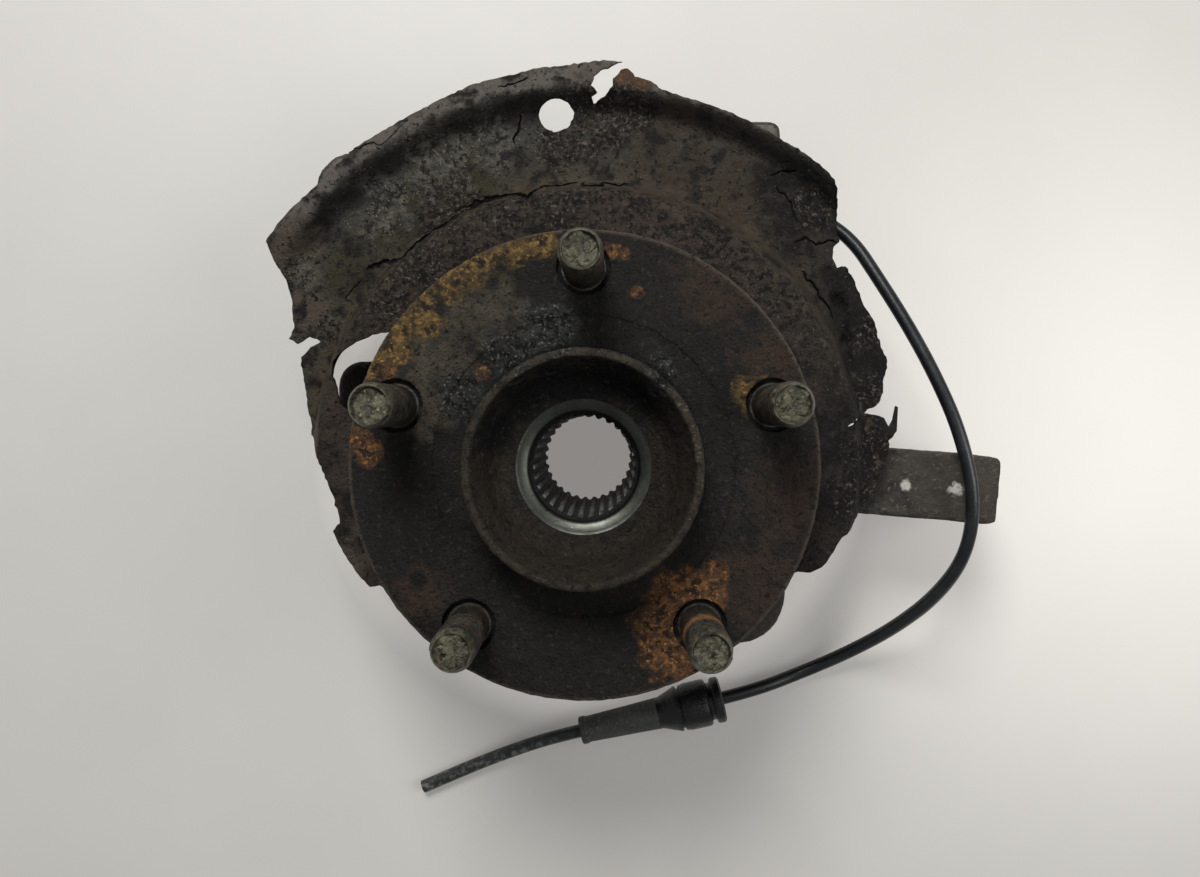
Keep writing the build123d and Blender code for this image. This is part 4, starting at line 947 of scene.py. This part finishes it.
# broached spline: cut steel worn dull on the flanks, and near black in the roots between the teeth
spline_steel, tree, shader, place = new_material("broached_steel_dark_roots")
roots = add_node(tree, "MapRange", {"Value": from_axis(tree, place),
                 "From Min": (SPLINE_TIP_R + 0.25) * MM, "From Max": (SPLINE_ROOT_R - 0.25) * MM})
weather(tree, shader, place, "#6f706a", [
    ("#3a3833", 2.2, 0.44, 0.56), ("#0c0c0b", 1.8, 0.54, 0.6),
    ("#070706", 1.0, 0.0, 0.1, roots)],
    [(1.6, 1.4), (0.5, 0.3)], (0.5, 0.8), {"Metallic": 0.2})

for made in (forging, ground, spline_steel):
    hub.data.materials.append(made)
for face in hub.data.polygons:
    face.material_index = 2 if is_bore(face.center) else 1 if is_seat(face.center) else 0
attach(hub, "hub")
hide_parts("hub_flange")

# ---------------- wheel studs
# Five M12 studs pressed in from behind. Each has a rolled thread half filled with dirt, and a
# raised rim round a hollow tip, where crumbs of grey-green road dirt have packed.
STUD_HEAD_R, STUD_HEAD_H, STUD_KNURL_R = 9.0, 6.0, 6.45
STUD_R, STUD_REACH, STUD_TIP_R = 6.0, 31.0, 5.2
STUD_STEP, STUD_TURN_STEPS, STUD_SPIN = 0.9, 56, 2.3
THREAD_PITCH, THREAD_DEPTH, THREAD_TURN_STEPS = 1.5, 0.5, 48
THREAD_START, THREAD_END = 9.0, 28.5
CUP_R, CUP_DEPTH, DIRT_DEPTH, DIRT_SUNK, DIRT_GRID = 4.85, 1.6, 1.15, 0.15, 36
RUST_RING_PLACE, RUST_RING_Z = (33.6, -46.2), 14.5

thread_core = STUD_R - THREAD_DEPTH
stud_corners = [
    (0.05, -FLANGE_T - STUD_HEAD_H), (STUD_HEAD_R - 0.6, -FLANGE_T - STUD_HEAD_H),
    (STUD_HEAD_R, -FLANGE_T - STUD_HEAD_H + 0.6), (STUD_HEAD_R, -FLANGE_T),
    (STUD_KNURL_R, -FLANGE_T), (STUD_KNURL_R, -STUD_RELIEF), (STUD_R - 0.1, -STUD_RELIEF),
    (STUD_R - 0.1, THREAD_START), (thread_core, THREAD_START + 0.6), (thread_core, THREAD_END),
    (STUD_R - 0.15, THREAD_END), (STUD_R - 0.2, THREAD_END + 0.8), (STUD_TIP_R, STUD_REACH - 0.2),
    (STUD_TIP_R - 0.12, STUD_REACH), (CUP_R + 0.1, STUD_REACH), (CUP_R, STUD_REACH - 0.2),
    (CUP_R - 0.5, STUD_REACH - CUP_DEPTH), (0.05, STUD_REACH - CUP_DEPTH),
]
stud_body = turned("wheel_stud", fine_profile(stud_corners, STUD_STEP), STUD_TURN_STEPS)

# one pitch of thread, swept up by a screw
pick()
bpy.ops.mesh.primitive_grid_add(x_subdivisions=5, y_subdivisions=1, size=1)
thread = bpy.context.object
open_mesh(thread)
bpy.ops.mesh.merge(type="CENTER")
bpy.ops.transform.translate(value=(thread_core * MM, 0, THREAD_START * MM))
for r, z in ((THREAD_DEPTH * 0.85, 0.5), (THREAD_DEPTH * 0.15, 0.12), (0, 0.26),
             (-THREAD_DEPTH * 0.15, 0.12), (-THREAD_DEPTH * 0.85, 0.5)):
    bpy.ops.mesh.extrude_region_move(
        TRANSFORM_OT_translate={"value": (r * MM, 0, z * MM)})
bpy.ops.object.mode_set(mode="OBJECT")
apply_modifier(thread, "SCREW", axis="Z", steps=THREAD_TURN_STEPS, angle=2 * pi,
               render_steps=THREAD_TURN_STEPS,
               screw_offset=THREAD_PITCH * MM, use_merge_vertices=True,
               iterations=int((THREAD_END - THREAD_START) / THREAD_PITCH))

# crumbs of dirt in the hollow tip
bpy.ops.mesh.primitive_grid_add(x_subdivisions=DIRT_GRID, y_subdivisions=DIRT_GRID,
                                size=2 * CUP_R * MM)
crumbs = bpy.context.object
for vertex in crumbs.data.vertices:
    x, y = vertex.co.x / MM, vertex.co.y / MM
    squash = max(abs(x), abs(y)) / max(hypot(x, y), 1e-6)
    heap = noise.noise((x * 0.36, y * 0.36, 0)) * 1.2 + noise.noise((x * 1.4, y * 1.4, 5)) * 0.35
    top = min(STUD_REACH - DIRT_SUNK, STUD_REACH - DIRT_DEPTH + heap + 0.12 * (x - y))
    vertex.co = Vector((x * squash, y * squash, top)) * MM

# the thread's two ends and the dirt's underside are closed, out of sight in the steel
for piece in (thread, crumbs):
    open_mesh(piece)
    bpy.ops.mesh.remove_doubles(threshold=0.005 * MM)
    if piece == crumbs:
        bpy.ops.mesh.select_all(action="DESELECT")
        bpy.ops.mesh.select_non_manifold()
        bpy.ops.mesh.extrude_region_move(TRANSFORM_OT_translate={"value": (0, 0, -1 * MM)})
        bpy.ops.mesh.select_all(action="SELECT")
    bpy.ops.mesh.fill_holes(sides=0)
    close_mesh()
smooth_by_angle(stud_body, 35)
smooth_by_angle(thread, 50)
smooth_by_angle(crumbs, 60)

# stud steel: plated once, now olive-black with dirt in the thread and brown rust low down
stud_steel, tree, shader, place = new_material("dirty_plated_thread")
height = add_node(tree, "SeparateXYZ", {"Vector": place}).outputs["Z"]
ragged = add_node(tree, "TexNoise", {"Vector": place, "Scale": per_mm(3)})
near = patch_mask(tree, place, ragged, [(*RUST_RING_PLACE, 12)])
off_ring = add_node(tree, "Math", {0: height, 1: RUST_RING_Z * MM}, operation="SUBTRACT")
off_ring = add_node(tree, "Math", {0: off_ring}, operation="ABSOLUTE")
ring = add_node(tree, "MapRange", {"Value": off_ring, "From Min": 3.4 * MM,
                "From Max": 1.2 * MM})
ring = add_node(tree, "Math", {0: ring, 1: near}, operation="MULTIPLY")
top = add_node(tree, "MapRange", {"Value": height, "From Min": 27 * MM, "From Max": 30.6 * MM})
weather(tree, shader, place, "#201f1a", [
    ("#38372e", 4, 0.42, 0.62), ("#121210", 2.1, 0.5, 0.62),
    ("#40301f", 3.1, 0.52, 0.66), ("#5f5d4b", 1.5, 0.4, 0.65, top),
    ("#6f4a29", 1.6, 0.2, 0.4, ring)], [(2.2, 0.4), (0.7, 0.2)], (0.25, 0.6), {"Metallic": 0.35})

# packed dirt: dry grey-green crumbs, pale on top and dark between
dirt, *parts = new_material("packed_road_dirt")
weather(*parts, "#3d3c31", [
    ("#5f5d4b", 2.6, 0.42, 0.58), ("#1f1e19", 2.2, 0.54, 0.64),
    ("#8a8872", 1.2, 0.6, 0.7)], [(1.8, 0.9), (0.5, 0.35)], (0.7, 1.0),
    {"Specular IOR Level": 0.2})

for piece, finish in ((stud_body, stud_steel), (thread, stud_steel), (crumbs, dirt)):
    piece.data.materials.clear()
    piece.data.materials.append(finish)
pick(thread, crumbs, stud_body)
bpy.ops.object.join()
for number, angle in enumerate(stud_angles, 1):
    copy = stud_body.copy()
    copy.data = stud_body.data.copy()
    copy.name = copy.data.name = f"wheel_stud_{number}"
    copy.data.transform(Matrix.Translation(on_circle(STUD_CIRCLE_R, angle))
                        @ Matrix.Rotation(radians(angle * STUD_SPIN), 4, "Z"))
    bpy.context.collection.objects.link(copy)
    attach(copy, "hub")
    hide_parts("wheel_studs")
bpy.data.objects.remove(stud_body)
